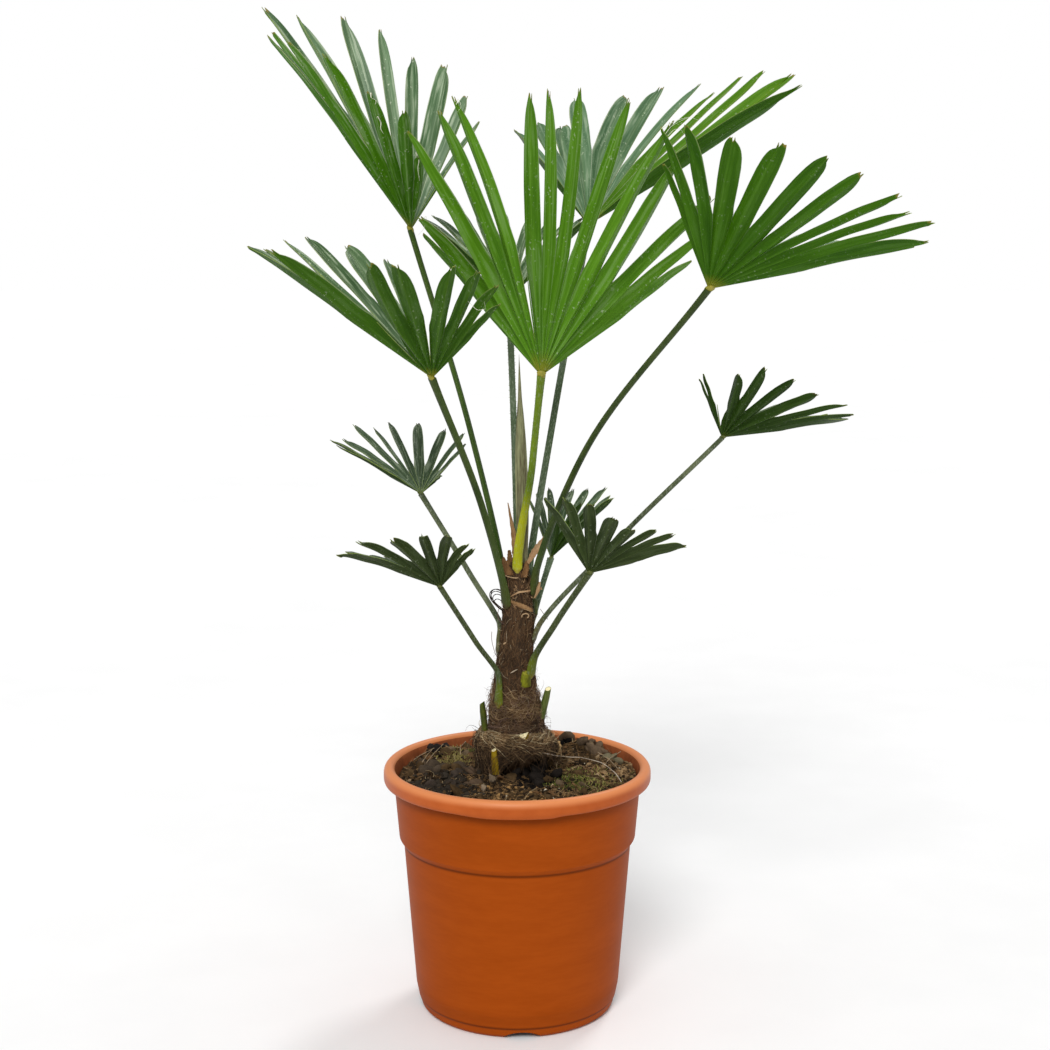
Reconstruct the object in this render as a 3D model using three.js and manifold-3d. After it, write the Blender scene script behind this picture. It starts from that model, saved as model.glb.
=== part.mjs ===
// A young windmill palm with stiff, cupped fan leaves, growing in a round plastic nursery pot.
// Millimetres, +Z up. The origin is the centre of the pot's flat underside, and +Y points away from the viewer.
// Bearings are measured round the trunk in degrees: 0 is the viewer's right, 90 the far side, 180 left, 270 near.

import * as THREE from "three";
import { mergeVertices } from "three/addons/utils/BufferGeometryUtils.js";
import Module from "manifold-3d";

const wasm = await Module();
wasm.setup();

// Clearance between pieces that touch on the real plant
const SEAT_GAP = 0.3;

// The pot: a 300 mm nursery container
const POT = {
  height: 280,
  rimRadius: 150,
  rimDepth: 18,
  rimWall: 8,
  bandTopRadius: 138.5,
  bandBottomRadius: 133,
  stepHeight: 196,
  stepDrop: 5,
  wallTopRadius: 128,
  wallBottomRadius: 113.5,
  wall: 3.2,
  footGrooveHeight: 12,
  footRadius: 111,
  baseRadius: 105,
  floorThickness: 3.5,
  standRadius: 68,
  channelDepth: 8,
  sides: 48,
};
const DRAIN_ARCH = { width: 40, height: 8, count: 4, firstBearing: 273, reach: 30 };
const DRAIN_HOLE = { radius: 6, count: 8, ringRadius: 86, sides: 12 };

// The potting soil, which stands a little below the rim and rises to the trunk
const SOIL = { edgeHeight: 264, crownHeight: 272, flatRadius: 52, rings: 5, sides: 36, roughness: 4, seed: 11 };

// The trunk, from its flat cut on the soil to the heart of the crown: heights above the soil and radii
const TRUNK = {
  stations: [
    [0, 33],
    [28, 33],
    [58, 32],
    [72, 31],
    [80, 27],
    [103, 24.5],
    [109, 22.5],
    [148, 20],
    [154, 18.8],
    [188, 18],
    [218, 15.5],
    [238, 10],
  ],
  sides: 20,
  leanTop: 3,
  relief: 0.05,
  seed: 5,
};

// The nest of matted fibre and surface roots round the trunk's foot
const COLLAR = { innerGap: 0.6, footHeight: 3, bulgeRadius: 49, bulgeHeight: 24, topHeight: 52, sides: 26, seed: 8 };

// The old leaf bases that were cut off short: bearing and reach from the axis, height above the soil, length, width
// and lean from upright
const STUBS = [
  { name: "stub_left", bearing: 186, reach: 36, height: 44, length: 34, width: 9, lean: 6 },
  { name: "stub_right", bearing: 345, reach: 28, height: 62, length: 34, width: 9, lean: 13 },
  { name: "stub_front", bearing: 240, reach: 47, height: 8, length: 27, width: 7.5, lean: 8 },
  { name: "stub_cut", bearing: 278, reach: 34, height: 26, length: 18, width: 13, lean: 38 },
  { name: "stub_high", bearing: 294, reach: 20, height: 98, length: 24, width: 9, lean: 12 },
];

// The unopened leaf that stands in the heart of the crown
const SPEAR = { bearing: 150, reach: 5, top: 738, width: 14, thickness: 9, sides: 8, stations: 7 };

// The fronds. hub is where leaf stalk and blade meet. root is the height above the soil at which the stalk leaves the
// trunk, bow its arch off the straight line and stalk its width.
// The blade is part of a cone round the hub. facing and lean are the bearing and the angle from upright of its middle
// leaflet, roll turns the blade about that leaflet, and cup is the cone's half angle. spread says how far the blade
// reaches round the cone, clockwise and counterclockwise seen from above. length is the middle leaflet's, and ends are
// the outermost leaflets' shares of it.
const FRONDS = [
  {
    name: "front", hub: [26, -40, 718], root: 226, bow: 4, stalk: 10.5, seed: 1, missing: 8,
    facing: 279, lean: 30, roll: 13, cup: 44, spread: [113, 105], length: 322, ends: [0.58, 0.55], leaflets: 20,
  },
  {
    name: "right_high", hub: [191, -164, 813], root: 200, bow: 31, stalk: 9.5, seed: 2,
    facing: 341, lean: 72, roll: 19, cup: 48, spread: [155, 90], length: 221, ends: [0.58, 0.85], leaflets: 18,
  },
  {
    name: "left_high", hub: [-116, 30, 872], root: 200, bow: 8, stalk: 9, seed: 3,
    facing: 178, lean: 31, roll: 19, cup: 34, spread: [145, 135], length: 270, ends: [0.44, 0.38], leaflets: 21,
  },
  {
    name: "left_middle", hub: [-88, -88, 719], root: 178, bow: 11, stalk: 10, seed: 4, missing: 13,
    facing: 181, lean: 52, roll: 1, cup: 47, spread: [80, 175], length: 226, ends: [0.85, 0.42], leaflets: 20,
  },
  {
    name: "back_right", hub: [80, 90, 878], root: 212, bow: 4, stalk: 9, seed: 5,
    facing: 4, lean: 55, roll: -8, cup: 47, spread: [100, 165], length: 270, ends: [0.75, 0.44], leaflets: 22,
  },
  {
    name: "back_left", hub: [-9, 52, 797], root: 220, bow: 4, stalk: 9, seed: 6,
    facing: 112, lean: 50, roll: 0, cup: 46, spread: [135, 95], length: 155, ends: [0.8, 0.8], leaflets: 15,
  },
  {
    name: "right_middle", hub: [218, -60, 654], root: 154, bow: 6, stalk: 7.5, seed: 7,
    facing: 338, lean: 74, roll: 21, cup: 50, spread: [155, 95], length: 142, ends: [0.42, 0.8], leaflets: 16,
  },
  {
    name: "left_low", hub: [-109, 60, 577], root: 150, bow: 2, stalk: 7, seed: 8,
    facing: 140, lean: 54, roll: 6, cup: 52, spread: [145, 75], length: 128, ends: [0.5, 0.85], leaflets: 13,
  },
  {
    name: "left_lowest", hub: [-82, -60, 492], root: 102, bow: 0, stalk: 7, seed: 9, droop: 0.08,
    facing: 211, lean: 59, roll: -20, cup: 54, spread: [100, 135], length: 119, ends: [0.8, 0.48], leaflets: 14,
  },
  {
    name: "right_low", hub: [77, -75, 510], root: 120, bow: 3, stalk: 8, seed: 10,
    facing: 324, lean: 60, roll: 27, cup: 51, spread: [135, 80], length: 113, ends: [0.84, 0.9], leaflets: 12,
  },
  {
    name: "back_low", hub: [38, 60, 503], root: 140, bow: 3, stalk: 7, seed: 12,
    facing: 27, lean: 46, roll: -2, cup: 34, spread: [130, 130], length: 108, ends: [0.65, 0.65], leaflets: 12,
  },
];

// How a blade is cut and folded, as shares of a leaflet's length unless said otherwise
const BLADE = {
  sinus: 0.42,
  sinusSpread: 0.1,
  shoulder: 0.74,
  shoulderWidth: 1.08,
  neck: 0.93,
  neckWidth: 0.66,
  pleat: 0.42,
  thickness: 1 / 80,
  lengthSpread: 0.045,
  turnSpread: 0.12,
  recurve: 0.03,
  taper: 1.6,
};

// Below its root a stalk's sheath lies against the trunk: its length, and how far out it lies as a share of the radius
const SHEATH = { length: 34, reach: 0.86 };

const UP = new THREE.Vector3(0, 0, 1);
const radians = THREE.MathUtils.degToRad;

// A repeatable stream of numbers from 0 to 1
function randomStream(seed) {
  let state = seed * 2654435761;
  return () => {
    state = (state + 0x6d2b79f5) | 0;
    let mixed = Math.imul(state ^ (state >>> 15), 1 | state);
    mixed = (mixed + Math.imul(mixed ^ (mixed >>> 7), 61 | mixed)) ^ mixed;
    return ((mixed ^ (mixed >>> 14)) >>> 0) / 4294967296;
  };
}

// The level direction at a bearing
function heading(bearing) {
  return new THREE.Vector3(Math.cos(radians(bearing)), Math.sin(radians(bearing)), 0);
}

// Booleans
function toSolid(geometry) {
  const bare = geometry.index ? geometry.toNonIndexed() : geometry.clone();
  const positions = new THREE.BufferGeometry().setAttribute("position", bare.getAttribute("position"));
  const merged = mergeVertices(positions, 1e-4);
  return new wasm.Manifold(
    new wasm.Mesh({
      numProp: 3,
      vertProperties: merged.attributes.position.array,
      triVerts: new Uint32Array(merged.index.array),
    }),
  );
}

function toGeometry(solid) {
  const mesh = solid.getMesh();
  return new THREE.BufferGeometry()
    .setAttribute("position", new THREE.BufferAttribute(mesh.vertProperties, 3))
    .setIndex(new THREE.BufferAttribute(mesh.triVerts, 1));
}

// A closed skin over a list of rings with the same number of points, flat-capped at both ends
function skin(rings) {
  const sides = rings[0].length;
  const points = rings.flat();
  const faces = [];
  for (let ring = 0; ring + 1 < rings.length; ring += 1) {
    for (let side = 0; side < sides; side += 1) {
      const next = (side + 1) % sides;
      const a = ring * sides + side;
      const b = ring * sides + next;
      faces.push(a, b, b + sides, a, b + sides, a + sides);
    }
  }
  const last = (rings.length - 1) * sides;
  for (let side = 1; side + 1 < sides; side += 1) {
    faces.push(0, side + 1, side);
    faces.push(last, last + side, last + side + 1);
  }
  return new THREE.BufferGeometry().setFromPoints(points).setIndex(faces);
}

// A solid of revolution about Z from a profile of [radius, height] that closes on itself
function turned(profile, sides) {
  const outline = profile.map(([radius, height]) => new THREE.Vector2(radius, height));
  const geometry = new THREE.LatheGeometry(outline, sides);
  geometry.rotateX(Math.PI / 2);
  const solid = toSolid(geometry);
  if (solid.volume() > 0) return solid;
  return toSolid(new THREE.LatheGeometry(outline.slice().reverse(), sides).rotateX(Math.PI / 2));
}

// The pot
function potProfile() {
  const p = POT;
  const top = p.height;
  const rimFloor = top - p.rimDepth;
  const inner = p.rimRadius - p.rimWall;
  const floorTop = p.channelDepth + p.floorThickness;
  return [
    [0, 0],
    [p.standRadius, 0],
    [p.standRadius + 4, p.channelDepth],
    [p.baseRadius - 9, p.channelDepth],
    [p.baseRadius - 7, 0],
    [p.baseRadius, 0],
    [p.footRadius - 1.5, 4],
    [p.footRadius, p.footGrooveHeight - 1],
    [p.wallBottomRadius - 0.5, p.footGrooveHeight + 1.5],
    [p.wallBottomRadius + 1.8, 28],
    [p.wallTopRadius, p.stepHeight - p.stepDrop],
    [p.bandBottomRadius, p.stepHeight + 2],
    [p.bandTopRadius, rimFloor],
    [p.rimRadius - 2, rimFloor],
    [p.rimRadius, rimFloor + 3],
    [p.rimRadius, top - 6],
    [p.rimRadius - 1.6, top - 1.6],
    [p.rimRadius - 4.5, top],
    [inner + 1.5, top - 0.8],
    [inner, top - 4],
    [p.bandTopRadius - p.wall, rimFloor - 2],
    [p.bandBottomRadius - p.wall, p.stepHeight + 2],
    [p.wallTopRadius - p.wall, p.stepHeight - p.stepDrop],
    [p.wallBottomRadius - p.wall, floorTop + 8],
    [p.wallBottomRadius - p.wall - 6, floorTop],
    [p.standRadius + 2, floorTop],
    [p.standRadius - 2, p.floorThickness],
    [0, p.floorThickness],
  ];
}

function makePot() {
  let pot = turned(potProfile(), POT.sides);
  const outer = POT.baseRadius + 12;
  for (let arch = 0; arch < DRAIN_ARCH.count; arch += 1) {
    const tunnel = toLying(DRAIN_ARCH.width / 2, DRAIN_ARCH.height, DRAIN_ARCH.reach);
    tunnel.translate(outer - DRAIN_ARCH.reach / 2, 0, 0);
    tunnel.rotateZ(radians(DRAIN_ARCH.firstBearing + (360 * arch) / DRAIN_ARCH.count));
    pot = pot.subtract(toSolid(tunnel));
  }
  for (let hole = 0; hole < DRAIN_HOLE.count; hole += 1) {
    const drill = new THREE.CylinderGeometry(DRAIN_HOLE.radius, DRAIN_HOLE.radius, 40, DRAIN_HOLE.sides);
    drill.rotateX(Math.PI / 2);
    drill.translate(DRAIN_HOLE.ringRadius, 0, POT.channelDepth);
    drill.rotateZ(radians(DRAIN_ARCH.firstBearing + (360 * (hole + 0.5)) / DRAIN_HOLE.count));
    pot = pot.subtract(toSolid(drill));
  }
  return toGeometry(pot);
}

// A flattened cylinder that lies along X, for a drain arch
function toLying(halfWidth, height, reach) {
  const tunnel = new THREE.CylinderGeometry(1, 1, reach, 14);
  tunnel.rotateZ(-Math.PI / 2);
  tunnel.scale(1, halfWidth, height);
  return tunnel;
}

// The soil: a body that fills the pot 0.3 mm clear of its wall, with a lumpy top
function soilHeight(radius, bearing, random) {
  const out = THREE.MathUtils.smoothstep(radius, SOIL.flatRadius, potInnerRadius(SOIL.edgeHeight));
  const lump = (random() - 0.35) * SOIL.roughness * 2;
  return THREE.MathUtils.lerp(SOIL.crownHeight, SOIL.edgeHeight, out) + lump;
}

function potInnerRadius(height) {
  const wall = potProfile().slice(20);
  for (let index = 0; index + 1 < wall.length; index += 1) {
    const [r1, z1] = wall[index];
    const [r0, z0] = wall[index + 1];
    if (height <= z1 && height >= z0) return r0 + ((r1 - r0) * (height - z0)) / (z1 - z0);
  }
  return POT.bandTopRadius - POT.wall;
}

function makeSoil() {
  const random = randomStream(SOIL.seed);
  const rings = [];
  const side = (radius, height) =>
    Array.from({ length: SOIL.sides }, (_, k) => {
      const turn = (2 * Math.PI * k) / SOIL.sides;
      return new THREE.Vector3(radius * Math.cos(turn), radius * Math.sin(turn), height);
    });
  const clear = 0.8;
  const floorTop = POT.channelDepth + POT.floorThickness;
  rings.push(side(POT.wallBottomRadius - POT.wall - 8, floorTop + clear));
  rings.push(side(POT.wallBottomRadius - POT.wall - clear, floorTop + 10));
  rings.push(side(POT.wallTopRadius - POT.wall - clear, POT.stepHeight - POT.stepDrop));
  rings.push(side(POT.bandBottomRadius - POT.wall - clear, POT.stepHeight + 4));
  const rim = potInnerRadius(SOIL.edgeHeight) - clear;
  for (let ring = 0; ring <= SOIL.rings; ring += 1) {
    const radius = THREE.MathUtils.lerp(rim, SOIL.flatRadius, ring / SOIL.rings);
    rings.push(
      side(radius, 0).map((point) => {
        const flat = ring === SOIL.rings;
        point.z = flat ? SOIL.crownHeight : soilHeight(radius, 0, random);
        if (ring === 0) point.z = SOIL.edgeHeight + (random() - 0.5) * SOIL.roughness;
        return point;
      }),
    );
  }
  return skin(rings);
}

// The trunk
const trunkFoot = SOIL.crownHeight + SEAT_GAP;

function trunkRadius(height) {
  const stations = TRUNK.stations;
  for (let index = 0; index + 1 < stations.length; index += 1) {
    const [z0, r0] = stations[index];
    const [z1, r1] = stations[index + 1];
    if (height <= z1) return r0 + ((r1 - r0) * Math.max(0, height - z0)) / (z1 - z0);
  }
  return stations.at(-1)[1];
}

function trunkCentre(height) {
  const top = TRUNK.stations.at(-1)[0];
  return (TRUNK.leanTop * height) / top;
}

function makeTrunk(extra) {
  const random = randomStream(TRUNK.seed);
  const rings = TRUNK.stations.map(([height, radius], station) => {
    const base = station === 0 ? trunkFoot - (extra ? 1 : 0) : trunkFoot + height + extra;
    return Array.from({ length: TRUNK.sides }, (_, k) => {
      const turn = (2 * Math.PI * k) / TRUNK.sides;
      const swell = 1 + (random() - 0.5) * 2 * TRUNK.relief;
      const out = radius * swell + extra;
      return new THREE.Vector3(trunkCentre(height) + out * Math.cos(turn), out * Math.sin(turn), base);
    });
  });
  return skin(rings);
}

// The collar of matted fibre: a lumpy ring round the trunk that overhangs the soil
function makeCollar() {
  const random = randomStream(COLLAR.seed);
  const inner = TRUNK.stations[0][1] * (1 + TRUNK.relief) + COLLAR.innerGap;
  const wide = COLLAR.bulgeRadius - inner;
  const tall = COLLAR.topHeight - COLLAR.footHeight;
  const rings = Array.from({ length: COLLAR.sides }, (_, k) => {
    const turn = (2 * Math.PI * k) / COLLAR.sides;
    const swell = 0.85 + 0.3 * random();
    const section = [
      [0, 0],
      [wide * 0.35, 0],
      [wide * 0.9 * swell, COLLAR.bulgeHeight * 0.5],
      [wide * swell, COLLAR.bulgeHeight],
      [wide * 0.65 * swell, COLLAR.bulgeHeight + (tall - COLLAR.bulgeHeight) * 0.6],
      [wide * 0.3, tall * (0.9 + 0.1 * swell)],
      [0, tall * 0.93],
    ];
    return section.map(([out, up]) => {
      const radius = inner + out;
      const height = trunkFoot + COLLAR.footHeight + up;
      return new THREE.Vector3(radius * Math.cos(turn), radius * Math.sin(turn), height);
    });
  });
  return STUBS.reduce((collar, stub) => collar.subtract(stubSolid(stub, SEAT_GAP)), toSolid(loop(rings)));
}

// A closed skin over rings that come back to the first one
function loop(rings) {
  const sides = rings[0].length;
  const faces = [];
  for (let ring = 0; ring < rings.length; ring += 1) {
    const here = ring * sides;
    const there = ((ring + 1) % rings.length) * sides;
    for (let side = 0; side < sides; side += 1) {
      const next = (side + 1) % sides;
      faces.push(here + side, there + side, there + next, here + side, there + next, here + next);
    }
  }
  return new THREE.BufferGeometry().setFromPoints(rings.flat()).setIndex(faces);
}

// A limb along a line: an oval section whose width and thickness follow two functions of the way along
function limb(line, sides, stations, width, thickness, across) {
  const rings = [];
  for (let station = 0; station < stations; station += 1) {
    const way = station / (stations - 1);
    const centre = line(way);
    const along = line(Math.min(1, way + 0.01)).sub(line(Math.max(0, way - 0.01))).normalize();
    const side = across.clone().addScaledVector(along, -across.dot(along)).normalize();
    const face = new THREE.Vector3().crossVectors(along, side);
    rings.push(
      Array.from({ length: sides }, (_, k) => {
        const turn = (2 * Math.PI * (k + 0.5)) / sides;
        return centre
          .clone()
          .addScaledVector(side, (Math.cos(turn) * width(way)) / 2)
          .addScaledVector(face, (Math.sin(turn) * thickness(way)) / 2);
      }),
    );
  }
  return skin(rings);
}

// The line of a stalk: up the trunk as a sheath, away from it at the root, and in a slight arch to the blade's hub
function stalkCurve(frond) {
  const hub = new THREE.Vector3(...frond.hub);
  const out = hub.clone().setZ(0).normalize();
  const onTrunk = (height) =>
    out
      .clone()
      .multiplyScalar(trunkRadius(height) * SHEATH.reach)
      .add(new THREE.Vector3(trunkCentre(height), 0, trunkFoot + height));
  const foot = onTrunk(frond.root - SHEATH.length);
  const root = onTrunk(frond.root);
  const chord = hub.clone().sub(root).normalize();
  const lift = UP.clone().addScaledVector(chord, -UP.dot(chord)).normalize();
  const middle = root.clone().lerp(hub, 0.45).addScaledVector(lift, frond.bow);
  return new THREE.CatmullRomCurve3([foot, root, middle, hub]);
}

// The stalk's solid. It is lengthened until it meets its blade a seat gap short.
function makeStalk(frond, cutter, blade) {
  const line = stalkCurve(frond);
  const across = new THREE.Vector3(-frond.hub[1], frond.hub[0], 0).normalize();
  const width = (way) => frond.stalk * (1 + 0.4 * (1 - way) ** 4 + 0.3 * way ** 12);
  const thickness = (way) => frond.stalk * (0.62 + 0.1 * (1 - way) ** 3);
  const upTo = (stop) => toSolid(limb((way) => line.getPointAt(way * stop), 8, 10, width, thickness, across));
  let clear = 0.9;
  let close = 1;
  for (let pass = 0; pass < 12; pass += 1) {
    const middle = (clear + close) / 2;
    if (upTo(middle).minGap(blade, 2 * SEAT_GAP) < SEAT_GAP) close = middle;
    else clear = middle;
  }
  return toGeometry(keepLargest(upTo(clear).subtract(cutter)));
}

function keepLargest(solid) {
  return solid.decompose().reduce((best, piece) => (piece.volume() > best.volume() ? piece : best));
}

// The blade's own directions: along its middle leaflet, towards its inner side, and across
function bladeFrame(frond) {
  const out = heading(frond.facing);
  const lean = radians(frond.lean);
  const roll = radians(frond.roll);
  const middle = out.clone().multiplyScalar(Math.sin(lean)).addScaledVector(UP, Math.cos(lean));
  const upper = out.clone().multiplyScalar(-Math.cos(lean)).addScaledVector(UP, Math.sin(lean));
  const level = new THREE.Vector3().crossVectors(UP, out);
  const inner = upper.clone().multiplyScalar(Math.cos(roll)).addScaledVector(level, Math.sin(roll));
  const cross = level.clone().multiplyScalar(Math.cos(roll)).addScaledVector(upper, -Math.sin(roll));
  return { middle, inner, cross };
}

// A fan blade: pleated leaflets joined near the hub and free beyond it, as one thin closed sheet
function makeBlade(frond) {
  const random = randomStream(frond.seed);
  const cup = radians(frond.cup);
  const { middle, inner, cross } = bladeFrame(frond);
  const axis = middle.clone().multiplyScalar(Math.cos(cup)).addScaledVector(inner, Math.sin(cup));
  const fore = middle.clone().multiplyScalar(Math.sin(cup)).addScaledVector(inner, -Math.cos(cup));
  const hub = new THREE.Vector3(...frond.hub);
  const thick = frond.length * BLADE.thickness;
  const [clockwise, counter] = frond.spread.map(radians);
  const step = (clockwise + counter) / frond.leaflets;
  const droop = frond.droop ?? BLADE.recurve;

  const radial = (turn) =>
    fore.clone().multiplyScalar(Math.cos(turn)).addScaledVector(cross, Math.sin(turn));
  const ray = (turn) =>
    axis.clone().multiplyScalar(Math.cos(cup)).addScaledVector(radial(turn), Math.sin(cup));
  const inward = (turn) =>
    axis.clone().multiplyScalar(Math.sin(cup)).addScaledVector(radial(turn), -Math.cos(cup));
  const sideways = (turn) =>
    cross.clone().multiplyScalar(Math.cos(turn)).addScaledVector(fore, -Math.sin(turn));

  const points = [];
  const faces = [];
  // A place on the sheet gets a point on its upper and one on its lower side
  const place = (position, normal) => {
    points.push(position.clone().addScaledVector(normal, thick / 2));
    points.push(position.clone().addScaledVector(normal, -thick / 2));
    return points.length / 2 - 1;
  };
  const sheet = (a, b, c) => {
    faces.push(2 * a, 2 * b, 2 * c);
    faces.push(2 * a + 1, 2 * c + 1, 2 * b + 1);
  };
  const edge = (a, b) => {
    faces.push(2 * a, 2 * a + 1, 2 * b + 1, 2 * a, 2 * b + 1, 2 * b);
  };

  const share = (turn) => {
    const [end, reach] = turn < 0 ? [frond.ends[0], clockwise] : [frond.ends[1], counter];
    return 1 - (1 - end) * Math.abs(turn / reach) ** BLADE.taper;
  };
  const apex = place(hub, axis);
  const sinuses = [];
  for (let cut = 0; cut <= frond.leaflets; cut += 1) {
    const turn = cut * step - clockwise;
    const depth = BLADE.sinus + (random() - 0.5) * 2 * BLADE.sinusSpread;
    const reach = frond.length * share(turn) * depth;
    const lift = reach * Math.sin(cup) * (step / 2) * BLADE.pleat;
    const normal = inward(turn);
    const position = hub.clone().addScaledVector(ray(turn), reach).addScaledVector(normal, lift);
    sinuses.push({ index: place(position, normal), reach });
  }
  for (let leaflet = 0; leaflet < frond.leaflets; leaflet += 1) {
    const turn = (leaflet + 0.5) * step - clockwise;
    const length = frond.length * share(turn) * (1 + (random() - 0.5) * 2 * BLADE.lengthSpread);
    const slew = (random() - 0.5) * BLADE.turnSpread * step;
    const left = sinuses[leaflet];
    const right = sinuses[leaflet + 1];
    const split = (left.reach + right.reach) / 2;
    const half = split * Math.sin(cup) * (step / 2);
    const normal = inward(turn);
    const station = (reach, halfWidth) => {
      const free = Math.max(0, reach - split) / length;
      const centre = hub
        .clone()
        .addScaledVector(ray(turn + slew * free * 2), reach)
        .addScaledVector(normal, -droop * length * free ** 2);
      const drop = halfWidth * BLADE.pleat;
      const middle = place(centre.clone().addScaledVector(normal, -drop), normal);
      if (halfWidth === 0) return { middle };
      const port = centre.clone().addScaledVector(sideways(turn), -halfWidth).addScaledVector(normal, drop);
      const starboard = centre.clone().addScaledVector(sideways(turn), halfWidth).addScaledVector(normal, drop);
      return { middle, left: place(port, normal), right: place(starboard, normal) };
    };
    const rib = place(hub.clone().addScaledVector(ray(turn), split).addScaledVector(normal, -half * BLADE.pleat), normal);
    const rows = [
      { middle: rib, left: left.index, right: right.index },
      station(Math.max(length * BLADE.shoulder, split + 0.12 * length), half * BLADE.shoulderWidth),
      station(length * BLADE.neck, half * BLADE.neckWidth),
    ];
    const tip = station(length, 0).middle;
    sheet(apex, rows[0].left, rows[0].middle);
    sheet(apex, rows[0].middle, rows[0].right);
    if (leaflet === frond.missing) {
      edge(left.index, rib);
      edge(rib, right.index);
      continue;
    }
    for (let row = 0; row + 1 < rows.length; row += 1) {
      const near = rows[row];
      const far = rows[row + 1];
      sheet(near.left, far.left, far.middle);
      sheet(near.left, far.middle, near.middle);
      sheet(near.middle, far.middle, far.right);
      sheet(near.middle, far.right, near.right);
      edge(near.left, far.left);
      edge(far.right, near.right);
    }
    const end = rows.at(-1);
    sheet(end.left, tip, end.middle);
    sheet(end.middle, tip, end.right);
    edge(end.left, tip);
    edge(tip, end.right);
  }
  edge(apex, sinuses[0].index);
  edge(sinuses.at(-1).index, apex);
  const geometry = new THREE.BufferGeometry().setFromPoints(points).setIndex(faces);
  const solid = toSolid(geometry);
  return solid.volume() > 0 ? geometry : geometry.setIndex(faces.slice().reverse());
}

// The stubs of leaf bases
function stubSolid(stub, extra) {
  const out = heading(stub.bearing);
  const lean = radians(stub.lean);
  const start = out.clone().multiplyScalar(stub.reach).setZ(trunkFoot + stub.height);
  const along = out.clone().multiplyScalar(Math.sin(lean)).addScaledVector(UP, Math.cos(lean));
  const across = new THREE.Vector3().crossVectors(UP, out);
  const line = (way) => start.clone().addScaledVector(along, stub.length * way + extra * (2 * way - 1));
  const width = (way) => stub.width * (1.25 - 0.25 * way) + 2 * extra;
  return toSolid(limb(line, 8, 3, width, () => stub.width * 0.7 + 2 * extra, across));
}

// The closed spear leaf
function makeSpear(cutter) {
  const start = new THREE.Vector3(trunkCentre(230), 0, trunkFoot + 230);
  const end = heading(SPEAR.bearing).multiplyScalar(SPEAR.reach).setZ(SPEAR.top);
  const swell = (way) => 0.75 + 0.5 * Math.sin(Math.PI * Math.min(1, way * 1.25)) - 0.75 * way ** 3;
  const width = (way) => SPEAR.width * swell(way);
  const thickness = (way) => SPEAR.thickness * swell(way);
  const line = (way) => start.clone().lerp(end, way);
  const made = limb(line, SPEAR.sides, SPEAR.stations, width, thickness, new THREE.Vector3(1, 0, 0));
  return toGeometry(keepLargest(toSolid(made).subtract(cutter)));
}

// Finishes
const FINISH = {
  pot: new THREE.MeshStandardMaterial({ color: 0xb5571c, roughness: 0.55, metalness: 0 }),
  soil: new THREE.MeshStandardMaterial({ color: 0x3f2f20, roughness: 1, metalness: 0 }),
  bark: new THREE.MeshStandardMaterial({ color: 0x5b4330, roughness: 1, metalness: 0 }),
  fibre: new THREE.MeshStandardMaterial({ color: 0x6b5138, roughness: 1, metalness: 0 }),
  stalk: new THREE.MeshStandardMaterial({ color: 0x4f6f2c, roughness: 0.5, metalness: 0 }),
  blade: new THREE.MeshStandardMaterial({ color: 0x2f6a1c, roughness: 0.45, metalness: 0 }),
  spear: new THREE.MeshStandardMaterial({ color: 0x8a8458, roughness: 0.8, metalness: 0 }),
};

// Assembly
const palm = new THREE.Group();

function addPiece(name, geometry, finish) {
  const mesh = new THREE.Mesh(geometry, FINISH[finish]);
  mesh.name = name;
  palm.add(mesh);
}

const trunkCutter = toSolid(makeTrunk(SEAT_GAP));
addPiece("pot", makePot(), "pot");
addPiece("soil", makeSoil(), "soil");
addPiece("trunk", makeTrunk(0), "bark");
addPiece("fibre_collar", toGeometry(keepLargest(makeCollar())), "fibre");
for (const stub of STUBS) {
  addPiece(stub.name, toGeometry(keepLargest(stubSolid(stub, 0).subtract(trunkCutter))), "stalk");
}
addPiece("spear_leaf", makeSpear(trunkCutter), "spear");
for (const frond of FRONDS) {
  const blade = makeBlade(frond);
  addPiece(`stalk_${frond.name}`, makeStalk(frond, trunkCutter, toSolid(blade)), "stalk");
  addPiece(`blade_${frond.name}`, blade, "blade");
}

export default palm;
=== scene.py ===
"""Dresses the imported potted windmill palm: fan blades, stalks, fibrous trunk, soil and nursery pot.

Everything is in metres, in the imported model's own frame: +Z up, the origin at the centre of the pot's underside, and
+Y away from the viewer. Bearings run round the trunk in degrees: 0 is the viewer's right, 90 the far side.
"""

import logging
import math
from contextlib import contextmanager
from dataclasses import dataclass, field
from enum import Enum, IntEnum
from functools import cache
from typing import Callable, Iterator, Mapping, Sequence

import bmesh
import bpy
import numpy as np
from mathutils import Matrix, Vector, noise

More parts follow.
